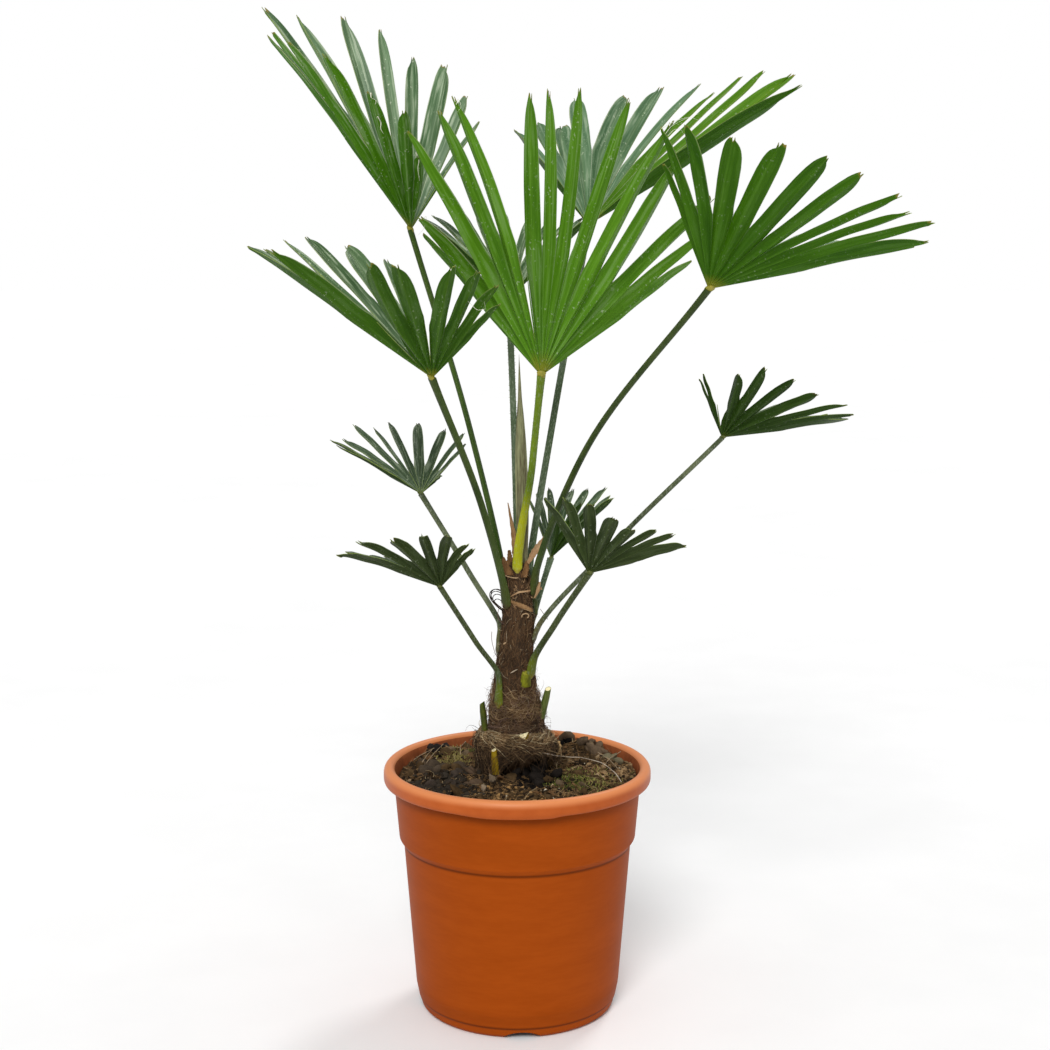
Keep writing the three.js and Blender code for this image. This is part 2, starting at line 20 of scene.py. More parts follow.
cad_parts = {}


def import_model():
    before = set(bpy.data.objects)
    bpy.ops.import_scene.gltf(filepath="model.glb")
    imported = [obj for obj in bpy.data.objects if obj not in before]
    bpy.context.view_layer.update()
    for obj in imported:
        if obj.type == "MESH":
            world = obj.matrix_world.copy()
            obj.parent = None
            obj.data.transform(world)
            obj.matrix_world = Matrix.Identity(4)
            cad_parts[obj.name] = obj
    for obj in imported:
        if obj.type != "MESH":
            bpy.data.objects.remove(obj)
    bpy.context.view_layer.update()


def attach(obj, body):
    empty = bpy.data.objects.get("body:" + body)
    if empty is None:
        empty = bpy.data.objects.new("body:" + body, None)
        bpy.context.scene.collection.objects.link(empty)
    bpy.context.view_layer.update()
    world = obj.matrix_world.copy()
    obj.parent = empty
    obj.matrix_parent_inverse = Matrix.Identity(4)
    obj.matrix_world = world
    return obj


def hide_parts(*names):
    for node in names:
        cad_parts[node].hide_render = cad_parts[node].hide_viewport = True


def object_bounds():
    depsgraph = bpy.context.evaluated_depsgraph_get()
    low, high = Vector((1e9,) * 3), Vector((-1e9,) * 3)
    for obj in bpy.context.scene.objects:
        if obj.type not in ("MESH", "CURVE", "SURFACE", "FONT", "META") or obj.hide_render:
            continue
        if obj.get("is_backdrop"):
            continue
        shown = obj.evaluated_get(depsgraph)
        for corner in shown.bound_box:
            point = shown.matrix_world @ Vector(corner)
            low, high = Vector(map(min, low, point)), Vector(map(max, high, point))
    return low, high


Array = np.ndarray
Piece = bpy.types.Object
Material = bpy.types.Material
Tree = bpy.types.NodeTree
Node = bpy.types.Node
Socket = bpy.types.NodeSocket
Pair = tuple[float, float]
Point = tuple[float, float, float]
Colour = Point
Profile = list[Pair]

LOG = logging.getLogger("palm")
MM = 0.001
UP = np.array([0.0, 0.0, 1.0])
BODY = "root"
LINE_STATIONS = 22


class Seed(IntEnum):
    """Where the random streams of the repeated things start; each kind adds its own number."""

    TOOTH = 40
    MOSS = 50
    THREAD = 70
    LITTER = 100
    COAT = 300
    MAT = 400
    HAIR = 500
    FRINGE = 600


# Numbers and directions


def heading(bearing: float) -> Array:
    """Returns the level direction at a bearing in degrees."""
    turn = math.radians(bearing)
    return np.array([math.cos(turn), math.sin(turn), 0.0])


def unit(vector: Array) -> Array:
    """Returns vectors of length one along the last axis."""
    return vector / np.maximum(np.linalg.norm(vector, axis=-1, keepdims=True), 1e-12)


def smoothstep(value: Array, low: float, high: float) -> Array:
    """Returns 0 below low, 1 above high and a smooth ramp between."""
    share = np.clip((np.asarray(value, dtype=float) - low) / (high - low), 0.0, 1.0)
    return share * share * (3.0 - 2.0 * share)


def repeatable(seed: int) -> Iterator[float]:
    """Yields the solids' own stream of numbers from 0 to 1.

    Args:
        seed: The number that the stream starts from.
    """
    whole = 0xFFFFFFFF
    state = (seed * 2654435761) & whole
    while True:
        state = (state + 0x6D2B79F5) & whole
        mixed = ((state ^ (state >> 15)) * (1 | state)) & whole
        mixed = ((mixed + (((mixed ^ (mixed >> 7)) * (61 | mixed)) & whole)) & whole) ^ mixed
        yield ((mixed ^ (mixed >> 14)) & whole) / 4294967296


def relief(places: Array, scale: Point, seed: int, octaves: int = 3) -> Array:
    """Returns smooth noise between about -1 and 1 at many places.

    Args:
        places: Points, in metres.
        scale: How many lumps a metre holds along X, Y and Z.
        seed: Moves the pattern.
        octaves: How many finer layers are added.
    """
    shift = Vector((13.7 * seed, -7.9 * seed, 5.3 * seed))
    sized = places * np.array(scale)
    return np.array([noise.fractal(Vector(place) + shift, 1.0, 2.0, octaves) for place in sized])


def polar(places: Array) -> tuple[Array, Array]:
    """Returns the heights of places and their bearings in radians."""
    return places[:, 2], np.arctan2(places[:, 1], places[:, 0])


class Draws:
    """A seeded stream of random columns, with one number for each of many things."""

    def __init__(self, seed: int, count: int) -> None:
        """Starts the stream."""
        self.rng = np.random.default_rng(seed)
        self.count = count

    def even(self, low: float, high: float) -> Array:
        """Returns numbers spread evenly between two values."""
        return self.rng.uniform(low, high, self.count)[:, None]

    def turn(self) -> Array:
        """Returns angles all the way round, in radians."""
        return self.even(0, 2 * np.pi)

    def normal(self, spread: float) -> Array:
        """Returns numbers scattered round nought."""
        return self.rng.normal(0, spread, self.count)[:, None]

    def sign(self) -> Array:
        """Returns minus ones and ones."""
        return self.rng.choice((-1, 1), self.count)[:, None]


def through(places: Array, share: Array, stops: Array | None = None) -> Array:
    """Returns places at shares of the way along a line.

    Args:
        places: The places that the line goes through.
        share: Where to look along it.
        stops: The share at each given place, even steps if left out.
    """
    stops = np.linspace(0, 1, len(places)) if stops is None else stops
    return np.stack([np.interp(share, stops, places[:, axis]) for axis in range(3)], axis=-1)


def eased(values: Array, times: int, axis: int = 0) -> Array:
    """Returns values smoothed along an axis a number of times, with both ends kept."""
    moved = np.moveaxis(values.copy(), axis, 0)
    for _ in range(times):
        moved[1:-1] = (moved[:-2] + moved[1:-1] * 2 + moved[2:]) / 4
    return np.moveaxis(moved, 0, axis)


def runs(places: Array) -> Array:
    """Returns how far along a line each of its places lies."""
    return np.concatenate([[0], np.cumsum(np.linalg.norm(np.diff(places, axis=0), axis=1))])


def bent(places: Sequence[Point]) -> Array:
    """Returns a smooth line through places."""
    return eased(through(np.array(places, dtype=float), np.linspace(0, 1, LINE_STATIONS)), 3)


# Modelling helpers


def select_none() -> None:
    """Leaves edit mode and clears the selection."""
    active = bpy.context.view_layer.objects.active
    if active and active.mode != "OBJECT":
        bpy.ops.object.mode_set(mode="OBJECT")
    bpy.ops.object.select_all(action="DESELECT")


def pick(piece: Piece) -> None:
    """Makes one piece the only selected and active one."""
    select_none()
    piece.select_set(True)
    bpy.context.view_layer.objects.active = piece


def choose(test: Callable[[Vector], bool]) -> None:
    """Selects, in edit mode, the vertices whose place passes a test."""
    shape = bmesh.from_edit_mesh(bpy.context.object.data)
    bpy.ops.mesh.select_all(action="DESELECT")
    for vertex in shape.verts:
        vertex.select_set(test(vertex.co))
    shape.select_flush_mode()
    bmesh.update_edit_mesh(bpy.context.object.data)


def bake_modifier(piece: Piece, kind: str, **settings: object) -> None:
    """Adds a modifier with its settings and applies it."""
    pick(piece)
    modifier = piece.modifiers.new(kind.title(), kind)
    for name, value in settings.items():
        setattr(modifier, name, value)
    bpy.ops.object.modifier_apply(modifier=modifier.name)


def settle(piece: Piece) -> None:
    """Moves a piece's place, turn and size into its mesh."""
    pick(piece)
    bpy.ops.object.transform_apply(location=True, rotation=True, scale=True)


def soften(piece: Piece, angle: float) -> None:
    """Shades a piece smooth where its faces meet at less than an angle in degrees."""
    pick(piece)
    bpy.ops.object.shade_smooth_by_angle(angle=math.radians(angle))


def positions(piece: Piece) -> Array:
    """Returns a piece's vertex places."""
    flat = np.empty(len(piece.data.vertices) * 3)
    piece.data.vertices.foreach_get("co", flat)
    return flat.reshape(-1, 3)


def reshape(piece: Piece, places: Array) -> None:
    """Gives a piece's vertices new places."""
    piece.data.vertices.foreach_set("co", places.astype(np.float32).ravel())
    piece.data.update()


def dress(piece: Piece, *materials: Material) -> None:
    """Puts materials into a piece's slots."""
    piece.data.materials.clear()
    for material in materials:
        piece.data.materials.append(material)


def declare(piece: Piece, slot: str, *nodes: str) -> Piece:
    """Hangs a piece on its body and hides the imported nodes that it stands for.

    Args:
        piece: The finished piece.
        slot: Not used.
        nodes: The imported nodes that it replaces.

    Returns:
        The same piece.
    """
    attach(piece, BODY)
    if nodes:
        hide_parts(*nodes)
    LOG.info("%s: %d faces", piece.name, len(piece.data.polygons))
    return piece


@contextmanager
def editing(piece: Piece) -> Iterator[None]:
    """Opens a piece in edit mode with all of it selected, and leaves edit mode at the end."""
    pick(piece)
    bpy.ops.object.mode_set(mode="EDIT")
    bpy.ops.mesh.select_all(action="SELECT")
    yield
    bpy.ops.object.mode_set(mode="OBJECT")


def face_outward(piece: Piece) -> None:
    """Turns a piece's faces outwards."""
    with editing(piece):
        bpy.ops.mesh.normals_make_consistent(inside=False)


def started(add: Callable[..., object], name: str = "form", **settings: object) -> Piece:
    """Adds a primitive with its settings, names it and moves its place into its mesh."""
    select_none()
    add(**settings)
    piece = bpy.context.object
    piece.name = piece.data.name = name
    settle(piece)
    return piece


def finished(piece: Piece, angle: float, slot: str, material: Material, *nodes: str) -> Piece:
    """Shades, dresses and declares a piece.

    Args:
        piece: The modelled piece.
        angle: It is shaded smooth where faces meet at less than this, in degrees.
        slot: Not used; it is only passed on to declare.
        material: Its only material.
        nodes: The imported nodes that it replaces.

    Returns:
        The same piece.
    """
    soften(piece, angle)
    dress(piece, material)
    return declare(piece, slot, *nodes)


def turned(name: str, sides: int, profile: Profile) -> Piece:
    """Turns a form on the Z axis: a ring is extruded and scaled from station to station.

    Args:
        name: The piece's name.
        sides: Sides of the ring.
        profile: Radius and height of each station, from one closed end to the other.

    Returns:
        A closed form.
    """
    radius, height = profile[0]
    add = bpy.ops.mesh.primitive_circle_add
    piece = started(add, name, vertices=sides, radius=radius, location=(0, 0, height), fill_type="NGON")
    with editing(piece):
        for radius_next, height_next in profile[1:]:
            rise = {"value": (0, 0, height_next - height)}
            bpy.ops.mesh.extrude_region_move(TRANSFORM_OT_translate=rise)
            share = radius_next / radius
            bpy.ops.transform.resize(value=(share, share, 1), center_override=(0, 0, height_next))
            radius, height = radius_next, height_next
    face_outward(piece)
    return piece


def tube(name: str, sides: int, stations: int) -> Piece:
    """Turns a closed tube of radius and height one, to be reshaped."""
    return turned(name, sides, [(1.0, station / (stations - 1)) for station in range(stations)])


def rounded(profile: Profile, size: float, steps: int = 4) -> Profile:
    """Rounds the corners of a turned profile.

    Args:
        profile: Radius and height of each station.
        size: How far from a corner the rounding starts.
        steps: Stations a corner.

    Returns:
        The longer profile.
    """
    corners = np.array(profile)
    result: Profile = [profile[0]]
    for before, corner, after in zip(corners, corners[1:], corners[2:]):
        start = corner + unit(before - corner) * min(size, np.linalg.norm(before - corner) * 0.45)
        end = corner + unit(after - corner) * min(size, np.linalg.norm(after - corner) * 0.45)
        for step in range(steps + 1):
            share = step / steps
            place = start * (1 - share) ** 2 + corner * 2 * share * (1 - share) + end * share**2
            result.append((float(place[0]), float(place[1])))
    result.append(profile[-1])
    return result


@dataclass
class Pattern:
    """A small shape that is modelled once and repeated."""

    points: Array
    faces: Array


def modelled(made: Piece) -> Pattern:
    """Returns a scratch shape as a pattern and removes it."""
    pattern = Pattern(positions(made), np.array([list(face.vertices) for face in made.data.polygons]))
    bpy.data.objects.remove(made)
    return pattern


def linked(name: str, mesh: bpy.types.Mesh) -> Piece:
    """Puts a mesh into the scene as a piece."""
    piece = bpy.data.objects.new(name, mesh)
    bpy.context.scene.collection.objects.link(piece)
    return piece


def lay_chart(mesh: bpy.types.Mesh, chart: Array) -> None:
    """Gives a mesh the UV map "chart", from a place on its surface for each vertex."""
    layer = mesh.uv_layers.new(name="chart")
    order = np.empty(len(mesh.loops), dtype=np.int32)
    mesh.loops.foreach_get("vertex_index", order)
    layer.data.foreach_set("uv", chart[order].astype(np.float32).ravel())


def joined(name: str, points: Array, faces: Array, chart: Array | None = None, tint: Array | None = None) -> Piece:
    """Makes one mesh of many copies from arrays.

    Args:
        name: The piece's name.
        points: All points.
        faces: Three or four point numbers a face.
        chart: A place on the surface for each point, which becomes the UV map "chart".
        tint: A number for each point, which becomes the attribute "tint".

    Returns:
        The piece, at the origin.
    """
    mesh = bpy.data.meshes.new(name)
    mesh.from_pydata(points.tolist(), [], faces.tolist())
    if chart is not None:
        lay_chart(mesh, chart)
    if tint is not None:
        attribute = mesh.attributes.new("tint", "FLOAT", "POINT")
        attribute.data.foreach_set("value", tint.astype(np.float32))
    mesh.validate()
    return linked(name, mesh)


def strands(name: str, lines: Array, radii: Array, sides: int = 3, flatness: float = 1.0) -> Piece:
    """Makes many thin closed tubes along lines, joined in one mesh.

    Args:
        name: The piece's name.
        lines: Places along each line: line, station, coordinate.
        radii: The tube's radius at each station, the same for all lines or each line's own.
        sides: Sides of a tube.
        flatness: Thickness of a tube as a share of its width.

    Returns:
        The piece.
    """
    count, stations, _ = lines.shape
    thick = np.broadcast_to(radii, (count, stations))[:, :, None, None]
    along = unit(np.gradient(lines, axis=1))
    mean = unit(lines[:, -1] - lines[:, 0])
    helper = np.where(np.abs(mean[:, 2:]) < 0.8, UP, np.array([1.0, 0.0, 0.0]))
    across = unit(np.cross(along, helper[:, None, :]))
    face = np.cross(across, along)
    turn = 2 * np.pi * np.arange(sides) / sides
    ring = (
        lines[:, :, None, :]
        + across[:, :, None, :] * (np.cos(turn)[None, None, :, None] * thick)
        + face[:, :, None, :] * (np.sin(turn)[None, None, :, None] * thick * flatness)
    )
    station, side = np.meshgrid(np.arange(stations - 1) * sides, np.arange(sides), indexing="ij")
    following = (side + 1) % sides
    quads = (station + side, station + following, station + sides + following, station + sides + side)
    offset = (np.arange(count) * stations * sides)[:, None, None]
    faces = (np.stack(quads, axis=-1).reshape(1, -1, 4) + offset).reshape(-1, 4).tolist()
    for start in range(0, count * stations * sides, stations * sides):
        end = start + (stations - 1) * sides
        faces.append([start + k for k in range(sides)])
        faces.append([end + k for k in reversed(range(sides))])
    mesh = bpy.data.meshes.new(name)
    mesh.from_pydata(ring.reshape(-1, 3).tolist(), [], faces)
    shape = bmesh.new()
    shape.from_mesh(mesh)
    bmesh.ops.recalc_face_normals(shape, faces=shape.faces)
    shape.to_mesh(mesh)
    shape.free()
    return linked(name, mesh)


# Finishes


class Wiring:
    """A material or node group while its nodes are placed and linked."""

    def __init__(self, tree: Tree, keep: bool = False) -> None:
        """Starts on a node tree, which is emptied unless its nodes are kept."""
        self.tree = tree
        if not keep:
            tree.nodes.clear()

    def node(self, kind: str, **settings: object) -> Node:
        """Places a node and sets its properties."""
        made = self.tree.nodes.new(kind)
        for name, value in settings.items():
            setattr(made, name, value)
        return made

    def feed(self, node: Node, socket: object, source: object) -> None:
        """Links a socket to a source, or sets it to a plain value."""
        target = node.inputs[socket]
        if isinstance(source, Socket):
            self.tree.links.new(source, target)
        elif isinstance(source, tuple) and len(source) == 3 and target.type == "RGBA":
            target.default_value = (*source, 1.0)
        else:
            target.default_value = source

    def math(self, operation: str, *values: object) -> Socket:
        """Returns the result of a Math node."""
        made = self.node("ShaderNodeMath", operation=operation)
        for index, value in enumerate(values):
            self.feed(made, index, value)
        return made.outputs[0]

    def times(self, first: object, second: object) -> Socket:
        """Returns a product."""
        return self.math("MULTIPLY", first, second)

    def scaled(self, value: object, factor: object, added: object) -> Socket:
        """Returns a value times a factor, with something added."""
        return self.math("MULTIPLY_ADD", value, factor, added)

    def ramp(self, value: object, low: float, high: float, start: float = 0.0, end: float = 1.0) -> Socket:
        """Returns a value carried smoothly from one range to another."""
        made = self.node("ShaderNodeMapRange", interpolation_type="SMOOTHSTEP")
        for index, item in enumerate((value, low, high, start, end)):
            self.feed(made, index, item)
        return made.outputs[0]

    def blend(self, share: object, first: object, second: object) -> Socket:
        """Returns a colour mixed from two."""
        made = self.node("ShaderNodeMix", data_type="RGBA")
        self.feed(made, "Factor", share)
        self.feed(made, 6, first)
        self.feed(made, 7, second)
        return made.outputs[2]

    def parts(self, vector: object) -> Sequence[Socket]:
        """Returns a vector's three parts."""
        split = self.node("ShaderNodeSeparateXYZ")
        self.feed(split, 0, vector)
        return split.outputs

    def place(self) -> Socket:
        """Returns Object coordinates."""
        return self.node("ShaderNodeTexCoord").outputs["Object"]

    def chart(self) -> Sequence[Socket]:
        """Returns the parts of the UV map "chart"."""
        return self.parts(self.node("ShaderNodeUVMap", uv_map="chart").outputs[0])

    def texture(self, parts: Sequence[object], scale: object, detail: float) -> Socket:
        """Returns noise over a vector that is given as its parts."""
        vector = self.node("ShaderNodeCombineXYZ")
        for index, part in enumerate(parts):
            self.feed(vector, index, part)
        made = self.node("ShaderNodeTexNoise")
        for label, value in (("Vector", vector.outputs[0]), ("Scale", scale), ("Detail", detail)):
            self.feed(made, label, value)
        return made.outputs[0]

    def noise(self, scale: float, detail: float = 3.0, rise: float = 1.0) -> Socket:
        """Returns noise over Object coordinates, squeezed along Z."""
        across, back, up = self.parts(self.place())
        return self.texture((across, back, self.times(up, rise)), scale, detail)

    def group(self, tree: Tree, values: Mapping[str, object]) -> Mapping[str, Socket]:
        """Returns the outputs of a node group that is fed with values."""
        made = self.node("ShaderNodeGroup", node_tree=tree)
        for label, value in values.items():
            self.feed(made, label, value)
        return made.outputs


def new_group(
    name: str, inputs: Mapping[str, Sequence[str]], outputs: Mapping[str, Sequence[str]]
) -> tuple[Tree, Wiring]:
    """Starts a shader node group.

    Args:
        name: The group's name.
        inputs: The labels of the inputs of each kind, such as {"NodeSocketColor": ("Base", "Tip")}.
        outputs: The same for the outputs.

    Returns:
        The group and its wiring.
    """
    tree = bpy.data.node_groups.new(name, "ShaderNodeTree")
    for way, sockets in (("INPUT", inputs), ("OUTPUT", outputs)):
        for kind, labels in sockets.items():
            for label in labels:
                tree.interface.new_socket(name=label, in_out=way, socket_type=kind)
    return tree, Wiring(tree)


COLOUR = "NodeSocketColor"
NUMBER = "NodeSocketFloat"
LEAF_COLOURS = ("Deep", "Light", "Rib", "Hub", "Tip", "Speck")
LEAF_AMOUNTS = ("Rib Amount", "Speck Amount", "Tip Start")
MOTTLE_SIZES = ("Coarse Scale", "Fine Scale", "Stretch")


@cache
def leaf_skin() -> Tree:
    """Returns the group of a leaf's colours, built once: veins, midrib, yellow hub, scorched tips and specks, with
    painted sheen and highlights.
    """
    inputs = {COLOUR: LEAF_COLOURS, NUMBER: LEAF_AMOUNTS}
    tree, wiring = new_group("leaf_skin", inputs, {COLOUR: ("Color",), NUMBER: ("Roughness", "Height")})
    calc, times, scaled = wiring.math, wiring.times, wiring.scaled
    ramp, blend = wiring.ramp, wiring.blend
    given = wiring.node("NodeGroupInput").outputs
    across, along, _ = wiring.chart()
    tint = wiring.node("ShaderNodeAttribute", attribute_name="tint").outputs["Fac"]
    side = calc("ABSOLUTE", scaled(across, 2.0, -1.0))
    lines = scaled(calc("SINE", times(across, 75.0)), 0.5, 0.5)
    patches = wiring.noise(38.0, 4.0, 0.35)
    streak = wiring.texture((scaled(tint, 60.0, times(across, 6.0)), times(along, 4.0)), 1.0, 4.0)
    share = scaled(ramp(streak, 0.36, 0.62), 0.45, times(tint, 0.4))
    share = scaled(patches, 0.25, share)
    colour = blend(share, given["Deep"], given["Light"])
    colour = blend(times(lines, 0.14), colour, given["Light"])
    amount = times(given["Speck Amount"], given["Speck Amount"])
    # Whitish streaks of glare: painted sheen.
    glare = times(ramp(streak, 0.5, 0.66), times(amount, 0.5))
    colour = blend(glare, colour, given["Speck"])
    # The rib colour marks the midrib line, and a broad band beside it as a painted highlight.
    rib = times(ramp(side, 0.07, 0.02), given["Rib Amount"])
    band = times(ramp(side, 0.5, 0.0), times(given["Rib Amount"], 0.4))
    colour = blend(calc("MAXIMUM", rib, band), colour, given["Rib"])
    # Lighter lines along the edges, stronger on one side: painted highlights.
    edge = scaled(ramp(across, 0.965, 0.99), 1.1, times(ramp(across, 0.03, 0.01), 0.3))
    colour = blend(times(edge, given["Speck Amount"]), colour, given["Speck"])
    colour = blend(ramp(along, 0.11, 0.0), colour, given["Hub"])
    ragged = scaled(wiring.noise(160.0, 2.0), 0.03, calc("SUBTRACT", along, 0.015))
    reach = scaled(side, 0.015, ragged)
    burnt = ramp(calc("SUBTRACT", reach, given["Tip Start"]), 0.0, 0.025)
    colour = blend(burnt, colour, given["Tip"])
    dots = ramp(wiring.noise(380.0, 1.0, 0.7), 0.64, 0.7)
    where = times(scaled(ramp(side, 0.55, 0.1), 0.7, 0.3), ramp(wiring.noise(26.0, 3.0), 0.44, 0.56))
    colour = blend(times(times(dots, where), given["Speck Amount"]), colour, given["Speck"])
    result = wiring.node("NodeGroupOutput")
    wiring.feed(result, "Color", colour)
    wiring.feed(result, "Roughness", ramp(patches, 0.3, 0.7, 0.3, 0.5))
    wiring.feed(result, "Height", calc("SUBTRACT", times(lines, 0.5), times(rib, 0.6)))
    return tree


@cache
def mottle_group() -> Tree:
    """Returns the group of a coarse and a fine noise over a piece, built once."""
    tree, wiring = new_group("mottle", {NUMBER: MOTTLE_SIZES}, {NUMBER: ("Mask", "Fine", "Height")})
    given = wiring.node("NodeGroupInput").outputs
    across, back, up = wiring.parts(wiring.place())
    place = (across, back, wiring.times(up, given["Stretch"]))
    coarse, fine = (wiring.texture(place, given[label], 4.0) for label in MOTTLE_SIZES[:2])
    result = wiring.node("NodeGroupOutput")
    wiring.feed(result, "Mask", wiring.ramp(coarse, 0.35, 0.65))
    wiring.feed(result, "Fine", wiring.ramp(fine, 0.35, 0.65))
    wiring.feed(result, "Height", wiring.math("ADD", fine, wiring.times(coarse, 0.6)))
    return tree


def mottle(wiring: Wiring, coarse: float, fine: float, stretch: float) -> Mapping[str, Socket]:
    """Returns the outputs of the mottle group at given scales."""
    return wiring.group(mottle_group(), dict(zip(MOTTLE_SIZES, (coarse, fine, stretch))))


def start_material(name: str, roughness: float, specular: float = 0.5) -> tuple[Material, Wiring, Node]:
    """Starts a material with its shader and output.

    Args:
        name: The material's name.
        roughness: The shader's roughness.
        specular: The shader's specular level.

    Returns:
        The material, its wiring and its shader node.
    """
    material = bpy.data.materials.new(name)
    material.use_nodes = True
    wiring = Wiring(material.node_tree)
    shader = wiring.node("ShaderNodeBsdfPrincipled")
    shader.inputs["Roughness"].default_value = roughness
    shader.inputs["Specular IOR Level"].default_value = specular
    output = wiring.node("ShaderNodeOutputMaterial")
    wiring.feed(output, "Surface", shader.outputs[0])
    return material, wiring, shader


def bump(wiring: Wiring, shader: Node, height: Socket, distance: float, strength: float) -> None:
    """Feeds a height into the shader's normal."""
    made = wiring.node("ShaderNodeBump")
    made.inputs["Strength"].default_value = strength
    made.inputs["Distance"].default_value = distance
    wiring.feed(made, "Height", height)
    wiring.feed(shader, "Normal", made.outputs[0])


@dataclass(frozen=True)
class LeafFinish:
    """One side of a blade: the colours and marks of its skin, with painted sheen and highlights."""

    name: str
    deep: Colour
    light: Colour
    # The rib colour is the midrib's own and also a painted highlight band beside it.
    rib: Colour
    rib_amount: float = 0.5
    speck_amount: float = 0.5
    specular: float = 0.08
    tip_start: float = 0.992
    hub: Colour = (0.24, 0.24, 0.02)
    tip: Colour = (0.3, 0.2, 0.04)
    # The speck colour and amount also paint the sheen streaks and the edge highlights.
    speck: Colour = (0.55, 0.62, 0.45)

    def material(self) -> Material:
        """Builds the material; each of the skin's inputs takes the value of the same name here."""
        made, wiring, shader = start_material(self.name, 0.4, self.specular)
        labels = LEAF_COLOURS + LEAF_AMOUNTS
        values = {label: getattr(self, label.lower().replace(" ", "_")) for label in labels}
        skin = wiring.group(leaf_skin(), values)
        wiring.feed(shader, "Base Color", skin["Color"])
        wiring.feed(shader, "Roughness", skin["Roughness"])
        bump(wiring, shader, skin["Height"], 0.0004, 0.5)
        return made


@dataclass(frozen=True)
class GrainFinish:
    """A mottled, matt or satin finish for plastic, soil, fibre and wood, with an optional painted highlight and bands
    of painted shade by height.
    """

    name: str
    deep: Colour
    light: Colour
    coarse: float = 40.0
    fine: float = 300.0
    stretch: float = 1.0
    roughness: float = 0.8
    specular: float = 0.3
    depth: float = 0.0006
    strength: float = 0.6
    # A painted highlight: its colour and the heights between which it comes in. Bands of painted shade: each a height,
    # a reach and an amount of darkening.
    painted_highlight: tuple[Colour, float, float] | None = None
    painted_shade_bands: tuple[Point, ...] = ()

    def material(self) -> Material:
        """Builds the material: a painted highlight's colour comes in between two heights, and painted shade darkens
        round each listed height.
        """
        made, wiring, shader = start_material(self.name, self.roughness, self.specular)
        grain = mottle(wiring, self.coarse, self.fine, self.stretch)
        share = wiring.math("ADD", wiring.times(grain["Mask"], 0.6), wiring.times(grain["Fine"], 0.4))
        colour = wiring.blend(share, self.deep, self.light)
        if self.painted_highlight or self.painted_shade_bands:
            height = wiring.parts(wiring.place())[2]
        # A lighter colour that comes in between two heights: a painted highlight.
        if self.painted_highlight:
            colour = wiring.blend(wiring.ramp(height, *self.painted_highlight[1:]), colour, self.painted_highlight[0])
        # Each band darkens the colour round a height: painted shade.
        for level, reach, amount in self.painted_shade_bands:
            gap = wiring.math("ABSOLUTE", wiring.math("SUBTRACT", height, level))
            dark = wiring.times(wiring.ramp(gap, reach, 0.0), amount)
            colour = wiring.blend(dark, colour, tuple(part * 0.25 for part in self.deep))
        wiring.feed(shader, "Base Color", colour)
        bump(wiring, shader, grain["Height"], self.depth, self.strength)
        return made


@dataclass(frozen=True)
class PlainFinish:
    """One colour with a soft drift over it, for the many small things that are joined in one piece."""

    name: str
    colour: Colour
    roughness: float = 0.85
    specular: float = 0.06
    drift: float = 0.35
    scale: float = 70.0

    def material(self) -> Material:
        """Builds the material."""
        made, wiring, shader = start_material(self.name, self.roughness, self.specular)
        grain = mottle(wiring, self.scale, self.scale * 7, 0.6)
        share = wiring.scaled(grain["Mask"], 0.65, wiring.times(grain["Fine"], 0.35))
        deep, light = (tuple(part * shade for part in self.colour) for shade in (1 - self.drift, 1 + self.drift))
        wiring.feed(shader, "Base Color", wiring.blend(share, deep, light))
        return made


@dataclass(frozen=True)
class StalkFinish:
    """A leaf stalk: a pale foot that turns green along its length, with fine lengthwise lines and pale dust."""

    name: str
    foot: Colour
    base: Colour
    middle: Colour
    light: Colour
    base_end: float = 0.55
    dust: float = 0.15

    def material(self) -> Material:
        """Builds the material; the chart runs round the stalk and up it, in tenths of a metre."""
        made, wiring, shader = start_material(self.name, 0.5, 0.16)
        around, along, _ = wiring.chart()
        grain = mottle(wiring, 60.0, 700.0, 0.3)
        lines = wiring.scaled(wiring.math("SINE", wiring.times(around, 94.0)), 0.5, 0.5)
        share = wiring.scaled(lines, 0.35, wiring.times(grain["Mask"], 0.65))
        colour = wiring.blend(share, self.middle, self.light)
        drift = wiring.scaled(grain["Fine"], 0.06, along)
        colour = wiring.blend(wiring.ramp(drift, self.base_end, self.base_end * 0.5), colour, self.base)
        colour = wiring.blend(wiring.ramp(drift, 0.12, 0.02), colour, self.foot)
        dust = wiring.times(wiring.ramp(grain["Fine"], 0.7, 0.95), self.dust)
        wiring.feed(shader, "Base Color", wiring.blend(dust, colour, (0.4, 0.44, 0.34)))
        bump(wiring, shader, lines, 0.0003, 0.4)
        return made


def fibres(
    name: str, slot: str, finish: PlainFinish, lines: Array, radii: Array, sides: int = 3,
    flatness: float = 1.0,
) -> Piece:
    return finished(strands(name, lines, radii, sides, flatness), 60, slot, finish.material())


# The pot


class PotSkin(IntEnum):
    """The pot's material slots."""

    # The rim's finish holds painted light; the underside's and the inside's hold painted shade.
    WALL = 0
    RIM = 1
    UNDERSIDE = 2
    INSIDE = 3


